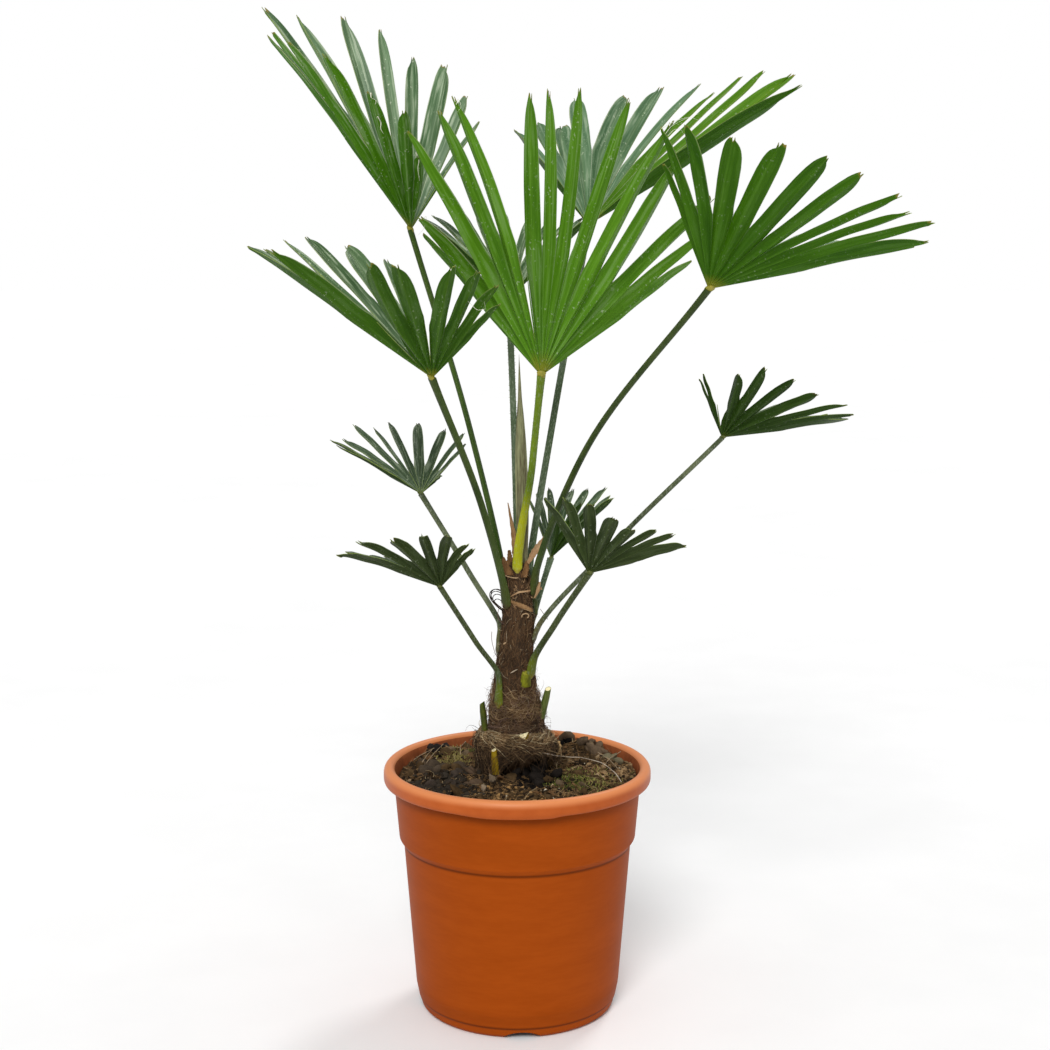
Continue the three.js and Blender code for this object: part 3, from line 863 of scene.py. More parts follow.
@dataclass
class Pot:
    """The moulded nursery pot with its rolled rim, stepped band and drain openings."""

    height: float = 0.280
    rim_radius: float = 0.150
    rim_depth: float = 0.018
    rim_wall: float = 0.008
    band_top_radius: float = 0.1385
    band_bottom_radius: float = 0.133
    step_height: float = 0.196
    step_drop: float = 0.005
    wall_top_radius: float = 0.128
    wall_bottom_radius: float = 0.1135
    wall: float = 0.0032
    groove_height: float = 0.012
    foot_radius: float = 0.111
    base_radius: float = 0.105
    floor: float = 0.0035
    stand_radius: float = 0.068
    channel: float = 0.008
    sides: int = 144
    arch_size: Pair = (0.040, 0.008)
    arch_bearing: float = 273.0
    arches: int = 4
    hole_radius: float = 0.006
    hole_ring: float = 0.086
    holes: int = 8
    sag: float = 0.0016
    lip_radius: float = 0.0065
    lip_height: float = 0.008
    inside_from: float = 0.25
    # The wall's darkened heights are painted shade: a shadow line under the band's step, the groove above the foot, the
    # shade under the rim and a faint darkening just above the groove.
    finish: GrainFinish = GrainFinish(
        "pot_plastic", (0.305, 0.052, 0.0018), (0.345, 0.061, 0.003), 9.0, 60.0, 6.0, 0.5, 0.05, 0.0002, 0.12,
        painted_shade_bands=((0.191, 0.0032, 0.75), (0.0125, 0.0026, 0.7), (0.2605, 0.016, 0.45), (0.022, 0.016, 0.12)),
    )
    # The rim wears a lighter copy of the wall's plastic as painted light, with a painted highlight on the lip's top and
    # a little painted shade at its lower edge.
    rim_finish: GrainFinish = GrainFinish(
        "pot_rim", (0.4, 0.073, 0.005), (0.46, 0.093, 0.01), 14.0, 90.0, 1.0, 0.42, 0.22, 0.0002, 0.15,
        painted_highlight=((0.7, 0.24, 0.085), 0.2705, 0.2785), painted_shade_bands=((0.262, 0.006, 0.12),),
    )
    # Near black on the underside: painted shade in the hollow beneath the pot's floor.
    shade: PlainFinish = PlainFinish("pot_underside_shade", (0.02, 0.006, 0.002))
    # A greyer copy of the plastic for the inner wall above the soil: painted shade.
    inside: PlainFinish = PlainFinish("pot_inside", (0.3, 0.085, 0.03), 0.6, 0.05, 0.25, 40.0)

    def outer_profile(self) -> Profile:
        """Returns the outside, from the flat underside to the rim's lip."""
        top, rim_floor = self.height, self.height - self.rim_depth
        return [
            (self.stand_radius, 0.0),
            (self.stand_radius + 0.004, self.channel),
            (self.base_radius - 0.009, self.channel),
            (self.base_radius - 0.007, 0.0),
            (self.base_radius, 0.0),
            (self.foot_radius - 0.0015, 0.004),
            (self.foot_radius, self.groove_height - 0.001),
            (self.wall_bottom_radius - 0.0012, self.groove_height + 0.0006),
            (self.wall_bottom_radius + 0.0018, 0.028),
            (self.wall_top_radius, self.step_height - self.step_drop),
            (self.wall_top_radius + 0.0012, self.step_height - self.step_drop + 0.0016),
            (self.band_bottom_radius, self.step_height + 0.002),
            (self.band_top_radius, rim_floor),
            (self.rim_radius - 0.001, rim_floor),
            (self.rim_radius, rim_floor + 0.003),
            (self.rim_radius, top - self.lip_height),
        ]

    def lip_profile(self) -> Profile:
        """Returns the rolled lip, from the outside over the top to the inside."""
        wide, tall = self.lip_radius, self.lip_height
        turns = np.linspace(0.12, math.pi * 0.92, 12)
        centre = self.rim_radius - wide
        return [(centre + wide * math.cos(turn), self.height - tall + tall * math.sin(turn)) for turn in turns]

    def inner_profile(self) -> Profile:
        """Returns the inside, from the lip to the floor."""
        floor_top = self.channel + self.floor
        return [
            (self.rim_radius - self.rim_wall - 0.0055, self.height - 0.009),
            (self.band_top_radius - self.wall, self.height - self.rim_depth - 0.004),
            (self.band_bottom_radius - self.wall, self.step_height + 0.002),
            (self.wall_top_radius - self.wall, self.step_height - self.step_drop),
            (self.wall_bottom_radius - self.wall, floor_top + 0.008),
            (self.wall_bottom_radius - self.wall - 0.006, floor_top),
            (self.stand_radius + 0.002, floor_top),
            (self.stand_radius - 0.002, self.floor),
        ]

    def skin_at(self, place: Vector, normal: Vector) -> PotSkin:
        """Returns which finish a face wears, from its middle and its normal."""
        reach = place.xy.length
        inner = reach < self.rim_radius - 0.0125 and normal.xy.dot(place.xy) < 0
        if place.z > self.inside_from and inner:
            return PotSkin.INSIDE
        if place.z > self.height - self.rim_depth - 0.0022 and reach > self.band_top_radius - 0.001:
            return PotSkin.RIM
        if 0.0003 < place.z < self.channel + 0.001 and reach < self.base_radius - 0.002:
            return PotSkin.UNDERSIDE
        return PotSkin.WALL

    def cut(self, piece: Piece, cutter: Piece) -> None:
        """Cuts one shape out of the pot and removes the cutter."""
        bake_modifier(piece, "BOOLEAN", operation="DIFFERENCE", object=cutter, solver="EXACT")
        bpy.data.objects.remove(cutter)

    def build(self) -> Piece:
        """Builds, cuts and dresses the pot."""
        profile = rounded(self.outer_profile(), 0.0012, 3) + self.lip_profile()
        profile += rounded(self.inner_profile(), 0.002, 2)
        piece = turned("nursery_pot", self.sides, profile)
        add = bpy.ops.mesh.primitive_cylinder_add
        for arch in range(self.arches):
            bearing = self.arch_bearing + 360 * arch / self.arches
            cutter = started(add, vertices=40, radius=1, depth=1)
            cutter.rotation_euler = (0, math.radians(90), math.radians(bearing))
            cutter.scale = (self.arch_size[1], self.arch_size[0] / 2, 0.03)
            cutter.location = heading(bearing) * (self.base_radius - 0.003)
            settle(cutter)
            self.cut(piece, cutter)
        for hole in range(self.holes):
            place = heading(self.arch_bearing + 360 * (hole + 0.5) / self.holes) * self.hole_ring
            place = place + UP * self.channel
            self.cut(piece, started(add, vertices=24, radius=self.hole_radius, depth=0.03, location=place))
        places = positions(piece)
        low = places[:, 2] < self.height - self.rim_depth + 0.004
        sagging = low & (np.linalg.norm(places[:, :2], axis=1) > self.band_top_radius + 0.002) & (places[:, 1] < 0)
        dip = smoothstep(places[:, 0], -0.07, -0.03) * smoothstep(places[:, 0], 0.05, 0.036)
        places[:, 2] -= sagging * dip * self.sag
        reshape(piece, places)
        soften(piece, 38)
        dress(piece, *(finish.material() for finish in (self.finish, self.rim_finish, self.shade, self.inside)))
        for polygon in piece.data.polygons:
            polygon.material_index = self.skin_at(polygon.center, polygon.normal)
        return declare(piece, "pot", "pot")


# The soil


class Litter(Enum):
    """The loose things that lie on the soil."""

    CRUMB = "crumb"
    CLOD = "clod"
    CHIP = "chip"
    PEBBLE = "pebble"
    SPECK = "speck"


CRUMB, CLOD, CHIP, PEBBLE, SPECK = Litter


@dataclass
class LitterRule:
    """How one kind of litter is strewn, over all the soil or round one place. Lengths are in millimetres."""

    kind: Litter
    count: int
    sizes: Pair
    shape: Point
    name: str
    colour: Colour
    sink: float = 0.35
    middle: Pair | None = None
    spread: float = 30
    specular: float = 0.06


LITTER = tuple(LitterRule(*row) for row in (
    (CRUMB, 2300, (1, 3.4), (1, 0.9, 0.75), "crumb_dark", (0.026, 0.017, 0.01)),
    (CRUMB, 2300, (1, 3.6), (1, 0.85, 0.7), "crumb_brown", (0.085, 0.05, 0.022)),
    (CRUMB, 1500, (0.9, 2.6), (1, 0.8, 0.6), "crumb_tan", (0.2, 0.12, 0.052)),
    (CLOD, 80, (3, 8.5), (1, 0.9, 0.8), "clod_brown", (0.07, 0.043, 0.02), 0.42, None, 30, 0.02),
    (CLOD, 16, (3, 7), (1, 0.85, 0.8), "clod_grey", (0.13, 0.09, 0.052), 0.3),
    (CHIP, 210, (2.5, 8), (1, 0.45, 0.22), "bark_chip", (0.15, 0.08, 0.035), 0.1),
    (PEBBLE, 40, (1.6, 3.6), (1, 0.85, 0.7), "pebble", (0.34, 0.24, 0.14)),
    (SPECK, 170, (0.5, 1.4), (1, 0.9, 0.8), "pale_speck", (0.6, 0.54, 0.42), 0.0),
    # Near-black crumbs in the hollow under the collar: painted shade.
    (CRUMB, 620, (1.4, 4.2), (1, 0.9, 0.7), "hollow_black", (0.007, 0.005, 0.004), 0.4, (24, -44), 21),
    (CRUMB, 520, (1.6, 5), (1, 0.9, 0.7), "humus_black", (0.032, 0.025, 0.018), 0.35, (-78, -56), 32),
    (CLOD, 5, (4.5, 6.2), (1, 0.9, 0.95), "humus_clod", (0.02, 0.016, 0.014), 0.05, (-92, 72), 10),
    (CLOD, 7, (5, 9), (1, 0.9, 0.7), "humus_lump", (0.05, 0.037, 0.028), 0.4, (-85, -52), 26),
    (CLOD, 5, (6, 10), (1, 0.9, 0.7), "earth_lump", (0.085, 0.055, 0.034), 0.4, (-52, -40), 17),
    (CHIP, 5, (5, 10), (1, 0.5, 0.5), "charcoal", (0.008, 0.007, 0.007), -0.3, (58, 82), 6),
    (CRUMB, 460, (1, 3), (1, 0.8, 0.6), "front_tan", (0.27, 0.155, 0.06), 0.2, (4, -112), 40),
    (CRUMB, 330, (1, 3.4), (1, 0.8, 0.6), "side_tan", (0.25, 0.16, 0.08), 0.2, (106, 4), 26),
    (PEBBLE, 3, (3.6, 4.8), (1, 0.9, 0.9), "grey_pebble", (0.2, 0.15, 0.1), 0.1, (-20, -71), 26),
    (CLOD, 12, (6, 11.5), (1, 0.9, 0.75), "loam_lump", (0.062, 0.044, 0.029), 0.4, (-100, 8), 24),
    # Near-black lumps under the collar's brim: painted shade.
    (CLOD, 12, (5, 8.5), (1, 0.9, 0.9), "hollow_lump", (0.014, 0.011, 0.009), 0.1, (20, -30), 14),
    (CLOD, 8, (6, 10.5), (1, 0.9, 0.8), "rear_lump", (0.1, 0.068, 0.042), 0.3, (82, 78), 16),
    (CLOD, 4, (6, 9.5), (1, 0.9, 0.7), "side_lump", (0.13, 0.11, 0.065), 0.3, (112, 36), 10),
))


@dataclass
class Soil:
    """Moist potting soil with clods, bark chips, pebbles, pale specks, moss and root threads.

    A heap has its place in millimetres, then its width and rise in metres. The finds are routes in millimetres.
    """

    edge_height: float = 0.264
    crown_height: float = 0.272
    edge_radius: float = 0.1345
    flat_radius: float = 0.052
    clearance: float = 0.0008
    pot: Pot = field(default_factory=Pot)
    margin: float = 0.006
    seed: int = 5
    finish: GrainFinish = GrainFinish(
        "soil", (0.01, 0.006, 0.003), (0.12, 0.07, 0.03), 46.0, 420.0, 1.0, 0.95, 0.1, 0.002, 1.0
    )
    heaps: tuple[tuple[float, float, float, float], ...] = (
        (70, 84, 0.032, 0.015), (108, 22, 0.024, 0.006), (-84, 66, 0.026, 0.009), (-56, -36, 0.02, 0.004),
        (28, -46, 0.017, -0.006),
    )
    threads: tuple[tuple[str, Colour, int, Pair, float, float], ...] = (
        ("root_thread", (0.28, 0.17, 0.08), 620, (0.006, 0.03), 0.00026, 0.12),
        ("dark_thread", (0.07, 0.042, 0.02), 420, (0.008, 0.034), 0.0003, 0.15),
        ("straw", (0.4, 0.3, 0.17), 80, (0.008, 0.03), 0.0003, 0.25),
    )
    moss: tuple[tuple[float, float, float, int, Colour], ...] = (
        (-34, 0.078, 0.034, 260, (0.125, 0.135, 0.028)), (-24, 0.09, 0.034, 300, (0.24, 0.21, 0.07)),
        (-44, 0.07, 0.026, 170, (0.07, 0.085, 0.02)), (154, 0.08, 0.026, 420, (0.22, 0.18, 0.06)),
        (120, 0.09, 0.03, 240, (0.12, 0.13, 0.035)),
    )
    finds: tuple[tuple[str, Colour, float, tuple[tuple[Point, ...], ...]], ...] = (
        ("pale_root", (0.5, 0.42, 0.33), 0.0005, (
            ((25, -37, 302), (43, -18, 293), (56, 4, 285), (70, 18, 281), (92, 4, 280), (101, -12, 279),
             (109, -36, 278), (114, -62, 276)),
        )),
        ("tan_root", (0.46, 0.3, 0.14), 0.0019, (((46, -6, 306), (48, -6, 301), (47, -7, 294), (43, -9, 289)),)),
        ("long_straw", (0.3, 0.22, 0.14), 0.00042, (
            ((-86, 70, 282), (-96, 40, 279), (-103, 8, 277)), ((-94, 74, 280), (-103, 40, 278), (-108, 14, 276)),
            ((-60, 62, 287), (-66, 50, 284), (-65, 38, 278)), ((-96, 52, 282), (-112, 30, 279), (-118, 20, 277)),
            ((92, 30, 283), (104, 8, 281), (112, -20, 279)), ((118, 30, 284), (104, 8, 282), (96, -12, 278)),
        )),
    )

    def height(self, places: Array) -> Array:
        """Returns the soil's height at level places."""
        radius = np.linalg.norm(places[:, :2], axis=1)
        share = smoothstep(radius, self.flat_radius, self.edge_radius)
        level = self.crown_height + (self.edge_height - self.crown_height) * share
        for across, back, wide, rise in self.heaps:
            gap = np.hypot(places[:, 0] - across * MM, places[:, 1] - back * MM)
            level = level + rise * np.exp(-((gap / wide) ** 2))
        flat = np.column_stack([places[:, :2], np.zeros(len(places))])
        rough = 0.0036 * relief(flat, (42, 42, 42), self.seed + 42)
        rough += 0.0022 * relief(flat, (120, 120, 120), self.seed + 120)
        return level + rough * (0.4 + 0.6 * smoothstep(radius, 0.03, 0.075))

    def build_ground(self) -> Piece:
        """Builds the soil's body with its lumpy top."""
        pot = self.pot
        floor_top = pot.channel + pot.floor
        inner = pot.wall + self.clearance
        profile: Profile = [
            (pot.wall_bottom_radius - inner - 0.008, floor_top + self.clearance),
            (pot.wall_bottom_radius - inner, floor_top + 0.01),
            (pot.wall_top_radius - inner, pot.step_height - pot.step_drop),
            (pot.band_bottom_radius - inner, pot.step_height + 0.004),
            (self.edge_radius, self.edge_height - 0.004),
        ]
        top = [(self.edge_radius * (1 - step / 110) + 0.0005, self.edge_height) for step in range(1, 111)]
        piece = turned("potting_soil", 240, profile + top)
        places = positions(piece)
        upper = places[:, 2] > self.edge_height - 0.001
        fine = 0.0008 * relief(places[upper], (420, 420, 420), 31, 2)
        places[upper, 2] = self.height(places[upper]) + fine
        reshape(piece, places)
        return finished(piece, 180, "soil", self.finish.material(), "soil")

    def grain(self, kind: Litter) -> Pattern:
        """Models one grain: a low sphere or block, whose copies are knocked out of round."""
        ops = bpy.ops.mesh
        if kind is CHIP:
            made = started(ops.primitive_cube_add, size=1.6)
            with editing(made):
                ops.bevel(offset=0.22, segments=1, affect="EDGES")
        elif kind is CLOD:
            made = started(ops.primitive_ico_sphere_add, subdivisions=3, radius=1)
        else:
            made = started(ops.primitive_uv_sphere_add, segments=6, ring_count=4, radius=1)
        with editing(made):
            ops.quads_convert_to_tris()
        return modelled(made)

    def strew(self, rule: LitterRule, number: int) -> Piece:
        """Strews one kind of litter over the soil and joins it in one piece."""
        pattern = self.grain(rule.kind)
        rng = np.random.default_rng(Seed.LITTER + number)
        small, large = np.array(rule.sizes) * MM
        size = small + (large - small) * rng.uniform(0, 1, rule.count) ** 2.2
        radius = (self.edge_radius - 0.004) * np.sqrt(rng.uniform(0.06, 1.0, rule.count))
        bearing = rng.uniform(0, 2 * np.pi, rule.count)
        centre = np.column_stack([radius * np.cos(bearing), radius * np.sin(bearing), np.zeros(rule.count)])
        if rule.middle:
            scatter = rng.normal(0, rule.spread * MM / 1.6, (rule.count, 2))
            centre[:, :2] = np.array(rule.middle) * MM + scatter
        reach = np.linalg.norm(centre[:, :2], axis=1)
        centre[:, :2] *= (np.minimum(reach, self.edge_radius - size - 0.0012) / reach)[:, None]
        shape = np.array(rule.shape) * rng.uniform(0.75, 1.25, (rule.count, 3))
        centre[:, 2] = self.height(centre) + size * shape[:, 2] * (1 - 2 * rule.sink)
        turn, tip = rng.uniform(0, 2 * np.pi, rule.count), rng.normal(0, 0.35, (rule.count, 2))
        rough = 0.22 * rng.normal(size=(rule.count, len(pattern.points), 1))
        if rule.kind is CLOD:
            lumps = [relief(pattern.points + 9.0 * index, (1.3, 1.3, 1.3), number) for index in range(rule.count)]
            rough = 0.26 * np.array(lumps)[..., None]
        local = pattern.points[None] * (1 + rough) * shape[:, None, :] * size[:, None, None]
        local[..., 2] += local[..., 0] * tip[:, None, 0] + local[..., 1] * tip[:, None, 1]
        cosine, sine = np.cos(turn)[:, None], np.sin(turn)[:, None]
        level = (local[..., 0] * cosine - local[..., 1] * sine, local[..., 0] * sine + local[..., 1] * cosine)
        placed = np.stack([*level, local[..., 2]], axis=-1) + centre[:, None, :]
        offset = (np.arange(rule.count) * len(pattern.points))[:, None, None]
        faces = (pattern.faces[None] + offset).reshape(-1, pattern.faces.shape[1])
        piece = joined(f"{rule.name}s", placed.reshape(-1, 3), faces)
        finish = PlainFinish(rule.name, rule.colour, specular=rule.specular)
        return finished(piece, 180 if rule.kind is CLOD else 50, "soil", finish.material())

    def build_threads(self) -> None:
        """Lays root threads and straw on the soil."""
        share = np.linspace(0, 1, 7)
        for number, (name, colour, count, lengths, thick, stand) in enumerate(self.threads):
            draws = Draws(Seed.THREAD + number, count)
            radius, bearing = (self.edge_radius - self.margin) * np.sqrt(draws.even(0.1, 1)), draws.turn()
            start = np.stack([radius * np.cos(bearing), radius * np.sin(bearing), 0 * radius], axis=-1)
            way, length = draws.turn(), draws.even(*lengths)
            way = way + draws.normal(1.2) * share
            step = np.stack([np.cos(way), np.sin(way), 0 * way], axis=-1)
            lines = start + np.cumsum(step, axis=1) * (length / 7)[:, None]
            reach = np.linalg.norm(lines[..., :2], axis=-1, keepdims=True)
            lines[..., :2] *= np.minimum(1, (self.edge_radius - 0.004) / reach)
            rise = draws.even(0, stand) * share * length
            level = eased(self.height(lines.reshape(-1, 3)).reshape(count, -1), 3, 1)
            lines[..., 2] = level + 0.0018 + rise
            fibres(f"{name}s", "soil", PlainFinish(name, colour), lines, thick * (1.1 - 0.6 * share))

    def build_moss(self) -> None:
        """Grows small cushions of moss."""
        for number, (bearing, radius, spread, count, colour) in enumerate(self.moss):
            rng = np.random.default_rng(Seed.MOSS + number)
            place = heading(bearing) * radius + rng.normal(0, spread / 2, (count, 3)) * (1, 1, 0)
            reach = np.linalg.norm(place[:, :2], axis=1)
            place[:, :2] *= np.minimum(1, (self.edge_radius - self.margin) / reach)[:, None]
            place[:, 2] = self.height(place) + 0.0012
            lean = rng.normal(0, 0.6, (count, 3)) * (1, 1, 0) + UP
            tall = rng.uniform(0.0012, 0.004, count)[:, None, None] * np.linspace(0, 1, 4)[:, None]
            finish = PlainFinish(f"moss_{number}", colour, 0.9)
            radii = 0.0006 * np.array([1.0, 1.1, 0.8, 0.2])
            fibres(finish.name, "soil", finish, place[:, None] + lean[:, None] * tall, radii)

    def build_finds(self) -> None:
        """Lays the few long threads and straws that stand out, through places in millimetres."""
        share = np.linspace(0, 1, 24)
        for name, colour, thick, routes in self.finds:
            lines = eased(np.array([through(np.array(route) * MM, share) for route in routes]), 1, 1)
            lines[..., 2] += 0.0002 * np.sin(share * 31)
            fibres(name, "soil", PlainFinish(name, colour), lines, thick * (1 + 0.25 * np.sin(share * 23)), 5, 0.8)

    def build(self) -> None:
        """Builds the ground and all that lies on it."""
        self.build_ground()
        for number, rule in enumerate(LITTER):
            self.strew(rule, number)
        self.build_threads()
        self.build_moss()
        self.build_finds()


# The trunk


@dataclass(frozen=True)
class StrandRule:
    """How one kind of fibre lies on the trunk. Heights and lengths are in millimetres, angles in degrees."""

    name: str
    colour: Colour
    count: int
    low: float
    high: float
    lengths: Pair
    tilt: float
    tilt_spread: float
    lift: float
    thick: float
    curl: float = 0.6


@dataclass
class Trunk:
    """The short trunk in its coat of old sheath fibre, with the matted collar round its foot.

    Each station gives a height above the soil and the solid's radius there, in millimetres. The coat adds how far
    its heart has moved to the right. The lengths in the tables of mats, fringes and hairs are in metres, each table
    in the order that its builder unpacks.
    """

    foot: float = 0.2723
    stations: tuple[Pair, ...] = (
        (0, 33), (28, 33), (58, 32), (72, 31), (80, 27), (103, 24.5), (109, 22.5), (148, 20), (154, 18.8), (188, 18),
        (218, 15.5), (238, 10),
    )
    lean_top: float = 0.003
    coat: tuple[Point, ...] = (
        (0, 23, -1), (22, 24, -1.3), (34, 29.8, -1.3), (48, 30.3, -1), (57, 30.5, -0.8), (68, 29.8, -0.6),
        (74, 27.2, -1.6), (83, 25, -2.8), (91, 23.2, -3), (103, 22.8, -2.4), (112, 21.2, -2.8), (131, 19, -2.2),
        (143, 18.4, -1.4), (160, 17.2, 0.3), (171, 17, 1.2), (186, 15.3, 0.6), (194, 14.6, 0.4), (205, 12.8, 0.9),
        (222, 11, 0.6), (236, 8.5, 0.4),
    )
    mean_radius: float = 0.022
    coat_ends: Pair = (0.004, 0.233)
    seed: int = 3
    bark: GrainFinish = GrainFinish(
        "bark", (0.026, 0.014, 0.007), (0.12, 0.068, 0.034), 90.0, 700.0, 0.25, 0.95, 0.1, 0.0012, 0.9
    )
    matting: GrainFinish = GrainFinish(
        "fibre_mat", (0.026, 0.014, 0.007), (0.125, 0.073, 0.036), 140.0, 800.0, 1.0, 0.95, 0.1, 0.0012, 0.9
    )
    strands: tuple[StrandRule, ...] = tuple(StrandRule(*row) for row in (
        ("felt_dark", (0.045, 0.027, 0.015), 2300, 30, 228, (6, 24), 12, 24, 1.2, 0.3),
        ("felt_brown", (0.105, 0.058, 0.027), 1900, 62, 228, (6, 22), 18, 30, 1.4, 0.22),
        ("felt_red", (0.125, 0.062, 0.028), 900, 36, 230, (6, 20), 70, 25, 1.6, 0.2),
        ("felt_tan", (0.21, 0.13, 0.065), 300, 66, 232, (6, 18), 40, 40, 2, 0.17),
        ("felt_pale", (0.42, 0.34, 0.23), 60, 45, 232, (5, 14), 50, 45, 2.8, 0.17),
        ("ring_brown", (0.15, 0.09, 0.045), 420, 64, 88, (10, 34), 78, 26, 4.6, 0.28, 3),
        ("ring_tan", (0.3, 0.2, 0.1), 150, 64, 90, (10, 26), 76, 34, 5.4, 0.28, 3.4),
        ("foot_bands", (0.13, 0.08, 0.045), 420, 34, 66, (10, 30), 86, 12, 1.6, 0.24, 1),
        ("crown_curls", (0.3, 0.18, 0.09), 90, 178, 226, (6, 18), 65, 40, 3.6, 0.3, 2.2),
    ))
    mats: tuple[tuple[str, Colour, int, float, float, float, float, float], ...] = (
        ("mat_dark", (0.036, 0.021, 0.011), 1500, 0.00034, 0.0016, 0.25, 0.2, 0.76),
        ("mat_brown", (0.13, 0.077, 0.036), 1200, 0.0003, 0.0018, 0.25, 0.03, 0.68),
        ("mat_tan", (0.3, 0.195, 0.095), 560, 0.00026, 0.0026, 0.3, 0.03, 0.42),
        ("mat_pale", (0.5, 0.4, 0.24), 130, 0.00028, 0.0036, 0.45, 0.03, 0.36),
    )
    fringes: tuple[tuple[str, Colour, int, float, float, float], ...] = (
        ("fringe_dark", (0.05, 0.03, 0.016), 420, 0.45, 0.8, 0.9),
        ("fringe_brown", (0.15, 0.092, 0.045), 300, 0.15, 0.75, 0.5),
        ("fringe_tan", (0.34, 0.24, 0.13), 110, 0.05, 0.6, 0.3),
    )
    hairs: tuple[tuple[str, Colour, int, float, float, float, float], ...] = (
        ("loose_hairs_dark", (0.06, 0.038, 0.024), 260, 0.004, 0.014, 0.045, 0.232),
        ("loose_hairs_pale", (0.42, 0.33, 0.21), 150, 0.004, 0.013, 0.045, 0.232),
        ("foot_hairs", (0.16, 0.1, 0.08), 170, 0.008, 0.022, 0.048, 0.092),
    )

    def radius(self, height: Array) -> Array:
        """Returns the solid trunk's radius at heights above the soil."""
        return np.interp(height, *(np.array(self.stations).T * MM))

    def centre(self, height: Array) -> Array:
        """Returns how far the solid trunk's heart has leant to the right at heights above the soil."""
        return self.lean_top * np.asarray(height) / (self.stations[-1][0] * MM)

    def surface(self, height: Array, bearing: Array, out: Array) -> Array:
        """Returns places on the trunk's coat.

        Args:
            height: Heights above the soil.
            bearing: Bearings in radians.
            out: How far outside the coat.
        """
        heights, radii, hearts = np.array(self.coat).T * MM
        reach = np.interp(height, heights, radii) + out
        heart = np.interp(height, heights, hearts)
        level = (heart + reach * np.cos(bearing), reach * np.sin(bearing))
        return np.stack([*level, self.foot + height + 0 * reach], axis=-1)

    def mat(self, along: Array, bearing: Array, out: Array) -> Array:
        """Returns places on the collar of matted roots, which hangs over a hollow at the front right.

        Args:
            along: From 0 at the trunk, over the brim at 0.7, to 1 underneath.
            bearing: Bearings in radians.
            out: How far outside the mat.
        """
        turn = np.mod(np.degrees(bearing) - 180, 360) + 180
        hollow = smoothstep(turn, 238, 268) * smoothstep(turn, 388, 350)
        low = 0.002 + 0.0205 * hollow - 0.003 * smoothstep(turn, 322, 350) * hollow + 0.0014 * np.sin(5 * bearing + 1)
        top = np.interp(along, (0, 0.1, 0.25, 0.45, 0.6), (0.048, 0.0462, 0.042, 0.0372, 0.031))
        top = top + 0.0036 * np.cos(bearing - math.radians(185)) * smoothstep(along, 0.02, 0.3)
        height = top + (low - top) * np.interp(along, (0.6, 0.8), (0, 1)) + 0.004 * np.interp(along, (0.8, 1), (0, 1))
        reach = np.interp(
            along, (0, 0.1, 0.25, 0.45, 0.6, 0.7, 0.8, 1),
            (0.0285, 0.0325, 0.0380, 0.0428, 0.0456, 0.0440, 0.0448, 0.0250),
        )
        reach = reach + 0.0014 * np.sin(3 * bearing + 0.6) + 0.0011 * np.sin(7 * bearing + 4 * along) + out
        height = height + out * (along < 0.3) * 0.6
        return np.stack([reach * np.cos(bearing) - 0.0022, reach * np.sin(bearing), self.foot + height], axis=-1)

    def build_core(self) -> None:
        """Builds the trunk's lumpy body."""
        piece = tube("trunk_core", 80, 110)
        share, bearing = polar(positions(piece))
        height = share * self.coat[-1][0] * MM
        flat = self.surface(height, bearing, np.zeros(len(height)))
        rough = 0.0011 * relief(flat, (110, 110, 50), self.seed)
        rough += 0.0006 * relief(flat, (420, 420, 120), self.seed + 2)
        bands = 0.0006 * np.abs(np.sin(height * 130 + 0.5 * np.sin(2 * bearing)))
        reshape(piece, self.surface(height, bearing, rough + bands - 0.0008))
        finished(piece, 180, "bark", self.bark.material(), "trunk")

    def build_collar(self) -> None:
        """Builds the collar's matted body."""
        piece = tube("matted_collar", 132, 40)
        along, bearing = polar(positions(piece))
        flat = self.mat(along, bearing, np.zeros(len(along)))
        rough = 0.0012 * relief(flat, (150, 150, 150), 21) + 0.0007 * relief(flat, (420, 420, 420), 22)
        reshape(piece, self.mat(along, bearing, rough - 0.0010))
        face_outward(piece)
        finished(piece, 180, "fibre", self.matting.material(), "fibre_collar")

    def build_coat(self) -> None:
        """Lays the felt of fibres on the trunk, with a curly ring above the foot."""
        share = np.linspace(0, 1, 7)
        for number, rule in enumerate(self.strands):
            draws = Draws(Seed.COAT + number, rule.count)
            start, bearing = draws.even(rule.low * MM, rule.high * MM), draws.turn()
            length = draws.even(*(np.array(rule.lengths) * MM))
            angle = np.radians(draws.sign() * rule.tilt + draws.normal(rule.tilt_spread))
            wave = np.sin(share * draws.even(3, 9) + draws.even(0, 6)) * rule.curl * MM * draws.even(0.4, 1.6)
            rise = share * (length * np.cos(angle)) + wave * np.abs(np.sin(angle))
            sweep = share * (length * np.sin(angle)) + wave * np.abs(np.cos(angle))
            lift = rule.lift * MM
            out = draws.even(-0.1, 0.4) * lift + draws.even(0.05, 1.0) ** 2 * lift * np.sin(np.pi * share)
            height = np.clip(start + rise, *self.coat_ends)
            lines = self.surface(height, bearing + sweep / self.mean_radius, out)
            radii = rule.thick * MM * draws.even(0.6, 1.35) * (1 - 0.5 * np.linspace(-1, 1, 7) ** 2)
            fibres(rule.name, "bark", PlainFinish(rule.name, rule.colour, 0.85, 0.15), lines, radii)

